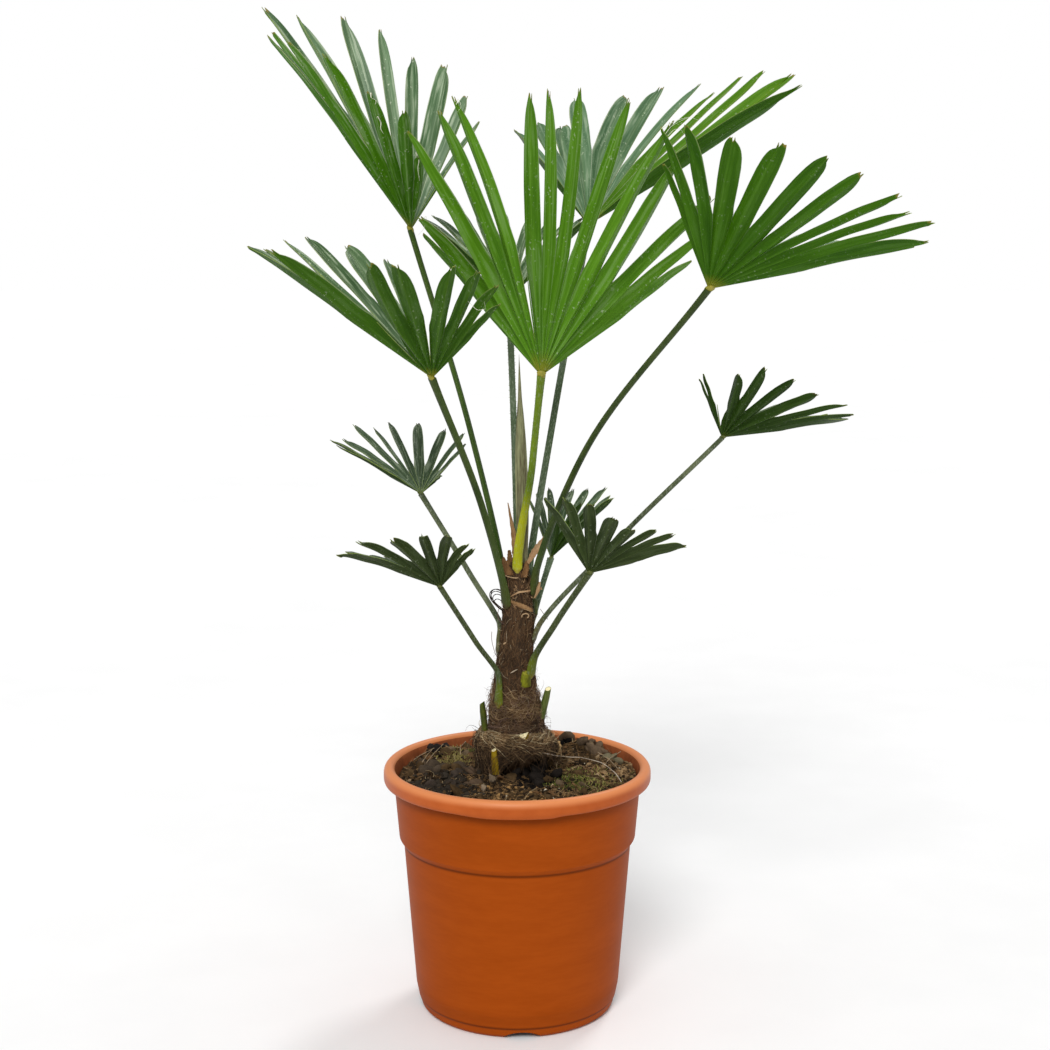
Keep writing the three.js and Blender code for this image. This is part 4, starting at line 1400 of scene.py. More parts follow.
    def build_mat(self) -> None:
        """Wraps the collar in its felt of fine roots."""
        share = np.linspace(0, 1, 9)
        for number, (name, colour, count, thick, lift, slope, low, high) in enumerate(self.mats):
            draws = Draws(Seed.MAT + number, count)
            start, bearing, length = draws.even(low, high), draws.turn(), draws.even(0.008, 0.034)
            along = start + draws.normal(slope) * length / 0.05 * share
            along = along + 0.03 * np.sin(share * 7 + draws.even(0, 6))
            out = draws.even(0, 1) ** 2 * lift * (0.3 + np.sin(np.pi * share)) - 0.0003
            lines = self.mat(np.clip(along, 0.0, 0.8), bearing + length * share / 0.04, out)
            radii = thick * draws.even(0.6, 1.4) * (1 - 0.5 * np.linspace(-1, 1, 9) ** 2)
            fibres(name, "fibre", PlainFinish(name, colour, 0.85, 0.15), lines, radii)

    @staticmethod
    def stray(draws: Draws, bearing: Array, rise: Pair, tilt: float, spread: float) -> tuple[Array, Array]:
        """Returns the ways that loose hairs take, away from the trunk and round it.

        Args:
            draws: The hairs' random stream.
            bearing: Bearings of their roots, in radians.
            rise: The least and the greatest climb on the way out.
            tilt: How much the way round climbs or falls.
            spread: How far they go round.
        """
        out = np.stack([np.cos(bearing), np.sin(bearing), draws.even(*rise)], axis=-1)
        side = np.stack([-np.sin(bearing), np.cos(bearing), draws.normal(tilt)], axis=-1)
        return out, side * draws.normal(spread)[:, None]

    def build_fringe(self) -> None:
        """Lets roots stand off the collar and hang from its brim towards the soil."""
        share = np.linspace(0, 1, 9)
        for number, (name, colour, count, low, high, drop) in enumerate(self.fringes):
            draws = Draws(Seed.FRINGE + number, count)
            bearing = draws.turn()
            root = self.mat(draws.even(low, high), bearing, np.zeros((count, 1)))
            out, side = self.stray(draws, bearing, (-0.4, 0.8), 0.4, 0.9)
            path = out * (np.sin(share * 2.2) * 0.32)[:, None] + side * share[:, None]
            path[..., 2] -= drop * share**2
            lines = root + path * draws.even(0.006, 0.02)[:, None]
            lines[..., 2] = np.maximum(lines[..., 2], self.foot + 0.001)
            fibres(name, "fibre", PlainFinish(name, colour, 0.85, 0.15), lines, 0.00026 * (1.2 - 0.8 * share))

    def build_hairs(self) -> None:
        """Lets loose, curling hairs stand off the trunk."""
        share = np.linspace(0, 1, 9)
        for number, (name, colour, count, shortest, longest, low, high) in enumerate(self.hairs):
            draws = Draws(Seed.HAIR + number, count)
            height, bearing = draws.even(low, high), draws.turn()
            out, side = self.stray(draws, bearing, (-0.8, 1.2), 0.6, 1)
            path = unit(out) * (np.sin(share * 2.4) * 0.45)[:, None] + side * share[:, None] ** 1.6 * 0.6
            path[..., 2] -= 0.35 * share**3
            lines = self.surface(height, bearing, 0) + path * draws.even(shortest, longest)[:, None]
            fibres(name, "bark", PlainFinish(name, colour, 0.8, 0.15), lines, 0.00017 * (1.2 - 0.8 * share))

    def build(self) -> None:
        """Builds the trunk, its collar, coat and hairs."""
        self.build_core()
        self.build_collar()
        self.build_coat()
        self.build_mat()
        self.build_fringe()
        self.build_hairs()


@dataclass(frozen=True)
class Tatter:
    """A dry strip of old sheath: its spine, its width along it and how it curls across."""

    name: str
    spine: tuple[Point, ...]
    widths: tuple[float, ...]
    across: Point
    twist: float
    curl: float
    finish: GrainFinish

    def build(self) -> None:
        """Models the strip from a grid laid along the spine and gives it thickness."""
        piece = started(bpy.ops.mesh.primitive_grid_add, self.name, x_subdivisions=8, y_subdivisions=26, size=2)
        places = positions(piece)
        side, share = places[:, 0], (places[:, 1] + 1) / 2
        smooth = share * share * (3 - 2 * share) if len(self.spine) == 2 else share
        spine = np.array(self.spine) * MM
        line = through(spine, smooth)
        wide = np.interp(share, np.linspace(0, 1, len(self.widths)), self.widths) * MM / 2
        ragged = 1 + 0.12 * np.sin(share * 47 + side * 2) * np.abs(side)
        across = unit(np.array(self.across))
        face = np.cross(across, unit(spine[-1] - spine[0]))
        angle = math.radians(self.twist) * share[:, None]
        turned_across = across * np.cos(angle) + face * np.sin(angle)
        turned_face = face * np.cos(angle) - across * np.sin(angle)
        hollow = self.curl * side**2
        reshape(piece, line + turned_across * (side * wide * ragged)[:, None] + turned_face * (hollow * wide)[:, None])
        bake_modifier(piece, "SOLIDIFY", thickness=0.0005, offset=0.0)
        finished(piece, 60, "fibre", self.finish.material())


@dataclass
class CrownLitter:
    """The torn sheaths, curls and loops of hair where the stalks leave the trunk."""

    trunk: Trunk
    tan: GrainFinish = GrainFinish(
        "sheath_tan", (0.3, 0.165, 0.075), (0.47, 0.31, 0.17), 160.0, 800.0, 0.4, 0.8, 0.2, 0.0004
    )
    brown: GrainFinish = GrainFinish(
        "sheath_brown", (0.11, 0.05, 0.018), (0.24, 0.125, 0.048), 160.0, 800.0, 0.4, 0.85, 0.2, 0.0004
    )
    orange: GrainFinish = GrainFinish(
        "sheath_orange", (0.19, 0.1, 0.04), (0.34, 0.2, 0.09), 160.0, 800.0, 0.4, 0.85, 0.2, 0.0004
    )

    def tatters(self) -> list[Tatter]:
        """Returns the strips, placed round the top of the trunk in millimetres."""
        return [
            Tatter(
                "tatter_right", ((12, -13, 510), (17, -15, 519), (24, -14, 528), (31, -12, 537), (37, -10, 547)),
                (3, 6, 8, 7, 5, 1), (0.75, -0.1, -0.65), 50, 0.5, self.tan
            ),
            Tatter(
                "tatter_left", ((-10, -11, 496), (-12, -10, 504), (-15, -8, 516)), (13, 12, 8, 2), (1, -0.1, 0), 15,
                0.4, self.brown
            ),
            Tatter(
                "tatter_heart", ((7, -13, 494), (10, -11, 503), (11, -8, 512)), (7, 6, 3), (1, 0.3, 0), 20, 0.5,
                self.brown
            ),
            Tatter(
                "tatter_spear", ((-1, -7, 503), (-1.5, -7, 520), (-4, -7, 545), (-10, -6, 576)), (6, 7, 5, 1),
                (1, 0, 0), 30, 0.5, self.orange
            ),
            Tatter(
                "strap_upper", ((-8, -13, 472), (2, -16, 478), (12, -14, 479), (22, -8, 480), (27, -4, 481)),
                (1.2, 2, 1.6, 1.8, 4.5), (0, -0.2, 1), 70, 0.6, self.tan
            ),
            Tatter(
                "strap_lower", ((-7, -15, 467), (2, -18, 464), (10, -17, 461), (17, -12, 457)), (3, 5, 5, 4),
                (0.1, -0.2, 1), 40, 0.6, self.orange
            ),
            Tatter(
                "tatter_fork", ((18, -9, 470), (22, -9, 478), (25, -8, 488)), (5, 5, 2), (1, -0.5, 0), -50, 0.5,
                self.tan
            ),
            Tatter(
                "tatter_back", ((-6, 10, 496), (-8, 12, 508), (-9, 14, 520)), (10, 7, 3), (-1, -0.2, 0), 25, 0.4,
                self.brown
            ),
            Tatter(
                "tatter_back_right", ((8, 10, 488), (12, 12, 500), (15, 14, 512)), (10, 8, 3), (-1, 0.5, 0), -25, 0.4,
                self.brown
            ),
        ]

    def ring(
        self, centre: Point, wide: float, tall: float, lean: float, turns: float, start: float,
        out: float,
    ) -> Array:
        """Returns a loop of hair that faces the viewer, in millimetres.

        Args:
            centre: Its middle.
            wide: Half its width.
            tall: Half its height.
            lean: How far it leans, in degrees.
            turns: How many turns it makes.
            start: The angle that it starts from, in degrees.
            out: How far it spreads towards the viewer.
        """
        turn = np.radians(start) + np.linspace(0, turns * 2 * np.pi, LINE_STATIONS)
        level, rise = wide * np.cos(turn), tall * np.sin(turn)
        cosine, sine = math.cos(math.radians(lean)), math.sin(math.radians(lean))
        nearer = -out * np.linspace(0, 1, LINE_STATIONS)
        around = np.stack([level * cosine - rise * sine, nearer, level * sine + rise * cosine], axis=-1)
        return (np.array(centre) + around) * MM

    def build_loops(self) -> None:
        """Builds the loops and the few long hairs."""
        loop = bent((
            (-13, -8, 474), (-19, -8, 479), (-26, -8, 480.5), (-31, -8, 476), (-30, -8, 469), (-25, -9, 463),
            (-19, -9, 458), (-12, -9, 453),
        ))
        heart = np.array((-20, -8, 468))
        copies = ((1.0, (0, 0, 0)), (0.88, (0, 1, -1)), (0.72, (0.6, -1, -2)), (0.94, (0.8, 2, 0.6)), (0.5, (0, 0, -5)))
        dark = np.stack([(heart + (loop - heart) * size + shift) * MM for size, shift in copies])
        fibres("hair_loops", "fibre", PlainFinish("hair_dark", (0.03, 0.02, 0.015), 0.7), dark, 0.00048, 4)
        pale = np.stack([
            self.ring((9, -16.5, 451.5), 3.8, 2.8, 10, 0.7, -60, 2),
            self.ring((-6, -13.5, 495.5), 7.0, 1.2, -8, 0.5, 180, 3),
            self.ring((-14, -13, 415), 3.0, 6.0, -20, 0.4, 0, 2),
        ])
        fibres("sheath_curls", "fibre", PlainFinish("curl_tan", (0.4, 0.27, 0.15), 0.8), pale, 0.0007, 5)
        share = np.linspace(0, 1, LINE_STATIONS)[:, None]
        bows = np.array((
            ((-20, -9, 459), (-24.5, -10, 445), (-14, -10, 441)),
            ((25.5, -4, 457), (31, -4, 449), (34, -4, 445)),
            ((-28, -8, 432), (-30, -8, 420), (-22, -9, 402)),
            ((-20, -16, 355), (-34, -14, 360), (-36, -12, 346)),
            ((-24, -12, 350), (-38, -13, 352), (-33, -12, 334)),
        ))
        root, bow, end = bows[:, None, 0], bows[:, None, 1], bows[:, None, 2]
        lines = (root * (1 - share) ** 2 + bow * 2 * share * (1 - share) + end * share**2) * MM
        fibres("long_hairs", "fibre", PlainFinish("hair_red", (0.16, 0.09, 0.075), 0.7, 0.2), lines, 0.0003, 4)

    def build_scrap(self) -> None:
        """Builds the pale splinter that lies across the trunk's front."""
        share = np.linspace(-1, 1, 9)
        line = np.array((-0.0035, -0.0225, 0.3905)) + np.outer(share, (0.0042, 0.0004, 0.0023))
        finish = PlainFinish("splinter", (0.62, 0.5, 0.36), 0.7, 0.2)
        fibres("pale_splinter", "bark", finish, line[None], 0.0011 * (1 - share**2) + 0.0001, 6, 0.5)

    def build(self) -> None:
        """Builds every strip, loop and splinter."""
        for tatter in self.tatters():
            tatter.build()
        self.build_loops()
        self.build_scrap()


# Old leaf bases


@dataclass
class Stub:
    """One old leaf base that was cut off short."""

    name: str
    bearing: float
    reach: float
    height: float
    length: float
    width: float
    lean: float
    skin: GrainFinish
    slant: float = 0.12
    tip: float = 0.12
    depth: float = 0.7
    sides: int = 18
    cut: PlainFinish = PlainFinish("cut_face", (0.86, 0.76, 0.45), 0.7)

    def build(self, foot: float) -> None:
        """Models the stub as a bevelled, tapering block and stands it on the trunk."""
        ops = bpy.ops.mesh
        sizes = {"vertices": self.sides, "radius": 0.5, "depth": 1, "location": (0, 0, 0.5)}
        piece = started(ops.primitive_cylinder_add, self.name, **sizes)
        with editing(piece):
            ops.bisect(plane_co=(0, 0, 0.35), plane_no=(0, 0, 1))
            ops.select_all(action="SELECT")
            ops.bisect(plane_co=(0, 0, 0.7), plane_no=(0, 0, 1))
            choose(lambda place: place.z > 0.99)
            bpy.ops.transform.resize(value=(0.86, 0.8, 1), center_override=(0, 0, 1))
            ops.inset(thickness=0.05, depth=-0.006)
        bake_modifier(piece, "BEVEL", width=0.02, segments=2, limit_method="ANGLE")
        places = positions(piece)
        if self.sides == 3:
            places[:, :2] *= -1
        pale = [
            polygon.index for polygon in piece.data.polygons
            if polygon.center.z > 0.97 and polygon.normal.z > 0.6 and polygon.center.xy.length < 0.3
        ]
        out, lean = heading(self.bearing), math.radians(self.lean)
        along = out * math.sin(lean) + UP * math.cos(lean)
        across = np.cross(UP, out)
        face = np.cross(along, across)
        slant = (self.slant * places[:, 0] + self.tip * places[:, 1]) * (places[:, 2] > 0.9)
        start = out * self.reach + UP * (foot + self.height)
        wide = self.width * (1.35 - 0.35 * places[:, 2])
        placed = start + along * ((places[:, 2] + slant) * self.length)[:, None]
        placed += across * (places[:, 0] * wide)[:, None]
        placed += face * (places[:, 1] * self.width * self.depth)[:, None]
        reshape(piece, placed)
        soften(piece, 40)
        dress(piece, self.skin.material(), self.cut.material())
        for index in pale:
            piece.data.polygons[index].material_index = 1
        declare(piece, "stalk", self.name)


GREEN_BARK, BRIGHT_BARK, YELLOW_BARK, LIME_BARK = (
    GrainFinish(f"stub_{name}", deep, light, coarse, 500.0, stretch, 0.6, 0.15, 0.0004)
    for name, deep, light, coarse, stretch in (
        ("green", (0.02, 0.04, 0.003), (0.1, 0.11, 0.012), 110.0, 0.5),
        ("bright", (0.06, 0.085, 0.014), (0.16, 0.19, 0.05), 90.0, 0.3),
        ("yellow", (0.16, 0.085, 0.003), (0.3, 0.21, 0.008), 90.0, 0.5),
        ("lime", (0.07, 0.07, 0.003), (0.19, 0.2, 0.008), 110.0, 0.6),
    )
)
STUBS = (
    Stub("stub_left", 186, 0.036, 0.044, 0.034, 0.0104, 6, GREEN_BARK, 0.1),
    Stub("stub_right", 345, 0.028, 0.062, 0.034, 0.0112, 13, BRIGHT_BARK, 0.1, -0.03),
    Stub("stub_front", 240, 0.047, 0.006, 0.029, 0.0072, 8, YELLOW_BARK, 0.06, 0.12),
    Stub("stub_cut", 282, 0.028, 0.032, 0.017, 0.0145, 24, YELLOW_BARK, 0.3, 0.75, 0.5, 3),
    Stub(
        "stub_high", 297, 0.0195, 0.100, 0.016, 0.0105, 9, LIME_BARK, 0.1, 0.3, 0.8, 18,
        PlainFinish("torn_face", (0.28, 0.27, 0.03), 0.8)
    ),
)


# Fronds


class BladeLook(Enum):
    """Which pair of skins a blade wears."""

    YOUNG = "young"
    FRESH = "fresh"
    SILVERED = "silvered"
    FULL = "full"
    OLD = "old"
    DULL = "dull"
    # Leaflets that the sun lights more brightly: painted light.
    BRIGHT = "bright"


YOUNG, FRESH, SILVERED, FULL, OLD, DULL, BRIGHT = BladeLook
OUTER_SKINS = {
    # The young skin's bright, saturated green is partly the leaf's own and partly painted light shining through the
    # blade.
    YOUNG: LeafFinish("outer_young", (0.035, 0.125, 0.0006), (0.105, 0.27, 0.011), (0.15, 0.33, 0.03), 0.3, 0.45),
    FRESH: LeafFinish("outer_fresh", (0.017, 0.07, 0.0002), (0.045, 0.14, 0.001), (0.08, 0.2, 0.012), 0.35, 0.2),
    # The silvered skin's whitish sheen, from its high speck amount, is painted glare.
    SILVERED: LeafFinish("outer_silvered", (0.026, 0.11, 0.0003), (0.075, 0.22, 0.003), (0.12, 0.27, 0.02), 0.35, 0.6),
    FULL: LeafFinish("outer_full", (0.012, 0.05, 0.0003), (0.04, 0.115, 0.0015), (0.085, 0.18, 0.015), 0.4, 0.25),
    OLD: LeafFinish(
        "outer_old", (0.008, 0.026, 0.0006), (0.025, 0.06, 0.004), (0.055, 0.1, 0.02),
        0.4, 0.15, 0.08, 0.98, (0.06, 0.085, 0.008), (0.06, 0.05, 0.015)
    ),
    DULL: LeafFinish(
        "outer_dull", (0.011, 0.022, 0.0025), (0.038, 0.06, 0.015), (0.07, 0.1, 0.03),
        0.5, 0.2, 0.08, 0.98, (0.05, 0.075, 0.008), (0.07, 0.055, 0.02)
    ),
    # A lighter skin for leaflets in stronger sun: painted light.
    BRIGHT: LeafFinish("outer_sunlit", (0.03, 0.1, 0.0005), (0.08, 0.2, 0.006), (0.16, 0.3, 0.02), 0.5, 0.3),
}
INNER_SKINS = {
    # The inner skins' greens are the leaves' own; their grey-teal paleness is a painted reflection of the sky on the
    # glossy upper sides.
    YOUNG: LeafFinish("inner_young", (0.05, 0.125, 0.02), (0.14, 0.25, 0.08), (0.27, 0.36, 0.2), 0.6, 0.8, 0.25),
    FRESH: LeafFinish("inner_fresh", (0.035, 0.095, 0.03), (0.15, 0.27, 0.14), (0.26, 0.37, 0.2), 0.6, 0.8, 0.25),
    SILVERED: LeafFinish("inner_silvered", (0.02, 0.07, 0.016), (0.16, 0.27, 0.13), (0.34, 0.45, 0.28), 0.7, 1.0, 0.25),
    FULL: LeafFinish("inner_full", (0.02, 0.062, 0.012), (0.12, 0.21, 0.09), (0.24, 0.32, 0.18), 0.6, 1.0, 0.25),
    OLD: LeafFinish(
        "inner_old", (0.022, 0.045, 0.016), (0.1, 0.16, 0.08), (0.2, 0.27, 0.15),
        0.6, 0.9, 0.2, 0.98, (0.12, 0.16, 0.08), (0.06, 0.05, 0.02)
    ),
    DULL: LeafFinish(
        "inner_dull", (0.025, 0.04, 0.02), (0.09, 0.125, 0.065), (0.17, 0.21, 0.12),
        0.5, 0.7, 0.2, 0.98, (0.09, 0.11, 0.05), (0.06, 0.05, 0.02)
    ),
    # The inner side of the leaflets in stronger sun: painted light.
    BRIGHT: LeafFinish("inner_sunlit", (0.04, 0.13, 0.002), (0.1, 0.24, 0.012), (0.2, 0.34, 0.03), 0.6, 0.4),
}


@dataclass
class FrondSizes:
    """One frond: its hub, its stalk and how its blade is set and cut. Lengths are in millimetres, angles in degrees.

    The widths are those of the leaflets, side by side; form goes from slender leaflets, 0, to spoon-shaped ones, 1.
    A move gives a leaflet's tip a turn, in degrees, and its length a share; a roll turns it about its rib.
    """

    name: str
    hub: Point
    root: float
    bow: float
    stalk: float
    seed: int
    facing: float
    lean: float
    roll: float
    cup: float
    spread: Pair
    length: float
    ends: Pair
    leaflets: int
    look: BladeLook
    stalk_look: int
    foot: Point
    flat: float = 0.62
    stand: float = 0.0
    flare: float = 0.25
    heel: float = 1.45
    missing: tuple[int, ...] = ()
    droop: float = 0.03
    ragged: float = 0.3
    form: float = 0.45
    widths: tuple[float, ...] = ()
    # Leaflets listed as bright wear the sunlit skins: painted light.
    bright: tuple[int, ...] = ()
    depth: float = 1.0
    moves: Mapping[int, Pair] = field(default_factory=dict)
    rolls: Mapping[int, float] = field(default_factory=dict)

    def edges(self) -> Array:
        """Returns the turns at which the leaflets meet, in radians."""
        clockwise, counter = (math.radians(value) for value in self.spread)
        widths = np.array(self.widths or (1.0,) * self.leaflets)
        return np.concatenate(([0.0], np.cumsum(widths))) * (clockwise + counter) / widths.sum() - clockwise


FRONDS: tuple[FrondSizes, ...] = (
    FrondSizes(
        "front", (26, -40, 718), 226, 4, 8.6, 1, 279, 30, 13, 44, (113, 105), 322, (0.58, 0.55), 20, YOUNG, 0,
        (268, 0, 125), 0.6, 0.5, 0.8, 0.75, missing=(5,), form=0.1,
        widths=(2.1, 2.6, 1.8, 1.1, 0.8, 0.4, 1, 0.7, 0.75, 0.95, 1.15, 1.4, 1.6, 1.7, 2),
        moves={1: (0, 0.85), 2: (3, 1.04), 3: (2, 1.05), 4: (-2, 1.05), 6: (3, 1.02), 7: (-2, 1.03), 8: (-3, 1.06),
        9: (-1, 1.06), 10: (0, 1.06), 11: (-7, 0.97), 12: (0, 0.97), 13: (0, 0.98)}
    ),
    FrondSizes(
        "right_high", (191, -164, 813), 200, 31, 9, 2, 341, 72, 19, 48, (155, 90), 221, (0.58, 0.85), 18, FRESH, 1,
        (338, 2, 40), 0.75, 5, form=0.55,
        widths=(1.3, 1.5, 1.5, 1.45, 1.25, 1.2, 1, 0.8, 0.9, 1.1, 1.4, 1.4, 1.1, 1.1, 1),
        moves={1: (-4, 1.08), 2: (-3, 1.03), 3: (2, 1), 4: (0, 1.02), 5: (0, 1.03), 6: (-3, 1.03), 7: (2, 1.02),
        10: (0, 1), 11: (3, 1.05)}
    ),
    FrondSizes(
        "left_high", (-116, 30, 872), 200, 8, 8.5, 3, 178, 31, 19, 34, (145, 135), 270, (0.44, 0.38), 21, SILVERED, 5,
        (168, 6, 26), 0.85, form=0.6,
        widths=(1.4, 1.9, 1.8, 1.2, 1.2, 1.4, 1.6, 1.2, 1.1, 1.2, 1.5, 1.4, 1.3, 1.4, 1.4),
        moves={0: (0, 1.05), 1: (6, 1), 2: (1, 1.03), 3: (0, 0.96), 4: (-2, 1.04), 5: (-4, 1.05), 6: (0, 1),
        7: (3, 1.04), 10: (0, 1.07), 11: (3, 1.14), 12: (1, 1.06), 13: (0, 1.1), 14: (-8, 0.92)}
    ),
    FrondSizes(
        "left_middle", (-88, -88, 719), 178, 11, 9, 4, 181, 52, 1, 47, (80, 175), 226, (0.85, 0.42), 20, FULL, 1,
        (218, -8, 30), 0.8, 0.5, missing=(7, 10), form=0.4,
        widths=(1.1, 1.4, 1.1, 1.2, 1.3, 1.4, 2, 1.2, 1.5, 1.2, 0.3, 1.4, 1.4, 1.6, 1.9),
        moves={1: (0, 1.05), 2: (-3, 1.11), 3: (-4, 1.06), 4: (0, 1), 6: (0, 1), 8: (6, 0.97), 9: (0, 0.99),
        11: (2, 1.05), 12: (-2, 1.08), 13: (-4, 1.05), 14: (0, 1)}
    ),
    FrondSizes(
        "back_right", (80, 90, 878), 212, 4, 8.5, 5, 4, 55, -8, 47, (43, 165), 270, (0.9, 0.44), 17, FRESH, 2,
        (25, 40, 20), 0.75, 3, form=0.5,
        widths=(1.5, 1.8, 1.3, 1.05, 0.9, 0.8, 0.85, 1.2, 1.3, 1.3, 1.5, 1.7, 2.1), bright=(2, 3, 4, 5),
        moves={0: (0, 1.13), 1: (0, 0.95), 2: (10, 1.13), 3: (7, 1.13), 4: (2, 1.08), 5: (-3, 0.97), 6: (-5, 1.05),
        7: (-3, 1.03), 8: (-7, 0.98), 9: (0, 0.97), 10: (-5, 0.8), 11: (-7, 0.9), 12: (0, 1)},
        rolls={2: 45}
    ),
    FrondSizes(
        "back_left", (-9, 52, 797), 220, 4, 7, 6, 112, 50, 0, 46, (135, 95), 155, (0.8, 0.8), 15, FULL, 2,
        (100, 10, 20), 0.75
    ),
    FrondSizes(
        "right_middle", (218, -60, 654), 154, 6, 7.5, 7, 338, 74, 21, 50, (155, 95), 142, (0.42, 0.8), 16, OLD, 3,
        (342, 8, 20), 0.9, 2, missing=(2,),
        widths=(1.1, 1.1, 2.3, 1, 0.95, 1.15, 1.4, 1.1, 1, 1.7, 1.3, 1.9),
        moves={0: (0, 1), 1: (4, 0.92), 3: (0, 0.85), 4: (0, 1), 5: (0, 1), 6: (0, 0.94), 7: (0, 1)}
    ),
    FrondSizes(
        "left_low", (-109, 60, 577), 150, 2, 7.5, 8, 140, 54, 6, 52, (145, 75), 128, (0.5, 0.85), 13, OLD, 3,
        (190, 18, 20), 0.85, 1, ragged=0.8, form=0.6, depth=0.65,
        widths=(1.4, 1.3, 1.2, 1.4, 1.3, 1, 0.6, 1.2, 1.4, 1.4, 0.8),
        moves={0: (0, 0.45), 1: (6, 0.93), 2: (0, 1), 3: (0, 0.95), 4: (0, 1), 5: (0, 1), 6: (0, 0.93), 7: (-3, 1.02),
        8: (0, 0.9)}
    ),
    FrondSizes(
        "left_lowest", (-82, -60, 492), 102, 0, 7.5, 9, 211, 59, -20, 54, (100, 135), 119, (0.8, 0.48), 14, DULL, 4,
        (228, 26, 20), 0.85, 1.6, droop=0.08, ragged=1, form=0.6, depth=0.85,
        widths=(1.2, 1.2, 1, 1.2, 1.1, 1.3, 1.3, 1, 1.2, 1.6, 1.9),
        moves={6: (0, 1), 7: (0, 1), 8: (0, 1), 9: (0, 0.86), 10: (0, 0.85)}
    ),
    FrondSizes(
        "right_low", (77, -75, 510), 120, 3, 8.5, 10, 324, 60, 27, 51, (135, 80), 113, (0.84, 0.9), 12, DULL, 4,
        (318, 12, 16), 0.85, 1.6, ragged=0.8, form=0.6,
        widths=(2, 1.6, 1.1, 1.1, 0.9, 0.8, 0.9, 1.7, 1.9),
        moves={1: (4, 1), 2: (0, 1), 3: (0, 0.92), 4: (0, 0.86), 5: (0, 0.96), 6: (0, 1), 7: (5, 1)}
    ),
    FrondSizes(
        "back_low", (38, 60, 503), 140, 3, 7, 12, 27, 46, -2, 34, (130, 130), 108, (0.65, 0.65), 12, OLD, 2,
        (48, 16, 20), 0.8, ragged=1
    ),
)

STALK_FINISHES = (
    StalkFinish("stalk_young", (0.36, 0.3, 0.03), (0.36, 0.37, 0.008), (0.07, 0.13, 0.005), (0.17, 0.25, 0.012), 1.1),
    StalkFinish(
        "stalk_green", (0.06, 0.045, 0.012), (0.045, 0.06, 0.007), (0.02, 0.04, 0.005), (0.05, 0.078, 0.014), 0.5, 0.04
    ),
    StalkFinish(
        "stalk_grey", (0.1, 0.07, 0.03), (0.09, 0.12, 0.035), (0.05, 0.085, 0.035), (0.12, 0.165, 0.095), 0.4, 0.3
    ),
    StalkFinish(
        "stalk_dusty", (0.09, 0.06, 0.03), (0.1, 0.095, 0.035), (0.04, 0.058, 0.022), (0.14, 0.165, 0.085), 0.45, 0.3
    ),
    StalkFinish(
        "stalk_limed", (0.19, 0.15, 0.012), (0.085, 0.11, 0.003), (0.03, 0.045, 0.012), (0.055, 0.075, 0.022), 0.42
    ),
    StalkFinish(
        "stalk_fresh", (0.06, 0.045, 0.012), (0.045, 0.07, 0.007), (0.025, 0.06, 0.004), (0.06, 0.11, 0.014), 0.5, 0.04
    ),
)

KNUCKLES = (
    GrainFinish("knuckle", (0.2, 0.2, 0.015), (0.38, 0.31, 0.035), 200.0, 900.0, 1.0, 0.5, 0.4, 0.0003),
    GrainFinish("old_knuckle", (0.05, 0.065, 0.015), (0.12, 0.14, 0.035), 200.0, 900.0, 1.0, 0.6, 0.2, 0.0003),
)


@dataclass
class BladeRule:
    """How a blade is cut and folded, as shares of a leaflet's length unless said otherwise.

    Spreads say how far random draws reach. Turns and twists are in radians, the thickness and the ripple in metres.
    A leaflet that is left out keeps a short web, and one whose move is listed is held to a share of the draws. The
    seam is the part of the free length over which a leaflet leaves the blade's cone.
    """

    sinus: float = 0.42
    sinus_spread: float = 0.1
    pleat: float = 0.42
    length_spread: float = 0.045
    turn_spread: float = 0.12
    taper: float = 1.6
    joined_rows: int = 9
    free_rows: int = 22
    columns: int = 8
    thickness: float = 0.0006
    left_out: float = 0.3
    notch: float = 0.018
    torn: float = 0.035
    twist: float = 0.16
    sway: float = 0.012
    unfold: float = 0.45
    held: float = 0.2
    crowding: float = 0.85
    seam: float = 0.16
    skew: Pair = (0.02, 0.09)
    ripple: float = 0.0005
    waves: Pair = (9, 16)

    @property
    def joint(self) -> float:
        """Returns where along the leaflet its joined rows end."""
        return self.joined_rows / (self.joined_rows + self.free_rows)


class LeafletPattern:
    """The leaflet that every blade repeats: a grid, folded along its rib, in shares of width and length."""

    def __init__(self, rule: BladeRule) -> None:
        """Models the pattern."""
        self.rule = rule
        self.pattern = self._model()

    def _model(self) -> Pattern:
        """Models the leaflet: columns are drawn towards the rib and the two halves are folded up."""
        rule = self.rule
        add, rows = bpy.ops.mesh.primitive_grid_add, rule.joined_rows + rule.free_rows
        made = started(add, x_subdivisions=rule.columns, y_subdivisions=rows, size=2)
        with editing(made):
            for place, target in ((0.25, 0.09), (0.5, 0.38), (0.75, 0.7)):
                for side in (-1, 1):
                    choose(lambda point, at=side * place: abs(point.x - at) < 0.01)
                    bpy.ops.transform.translate(value=(side * (target - place), 0, 0))
            for place, fold in ((0.0, -1.0), (0.09, -0.84), (0.38, -0.25), (0.7, 0.4), (1.0, 1.0)):
                choose(lambda point, at=place: abs(abs(point.x) - at) < 0.01)
                bpy.ops.transform.translate(value=(0, 0, fold))
        pattern = modelled(made)
        pattern.points[:, 1] = (pattern.points[:, 1] + 1) / 2
        return pattern


# The slot of the sunlit outer skin: painted light on a few leaflets.
SUNLIT_SLOT = 3


@dataclass
class Leaflet:
    """One leaflet of a blade: its turn and width round the cone, in radians, its cuts and its length, in metres."""

    number: int
    turn: float
    step: float
    cuts: Pair
    tall: float
    slew: float
    loose: float


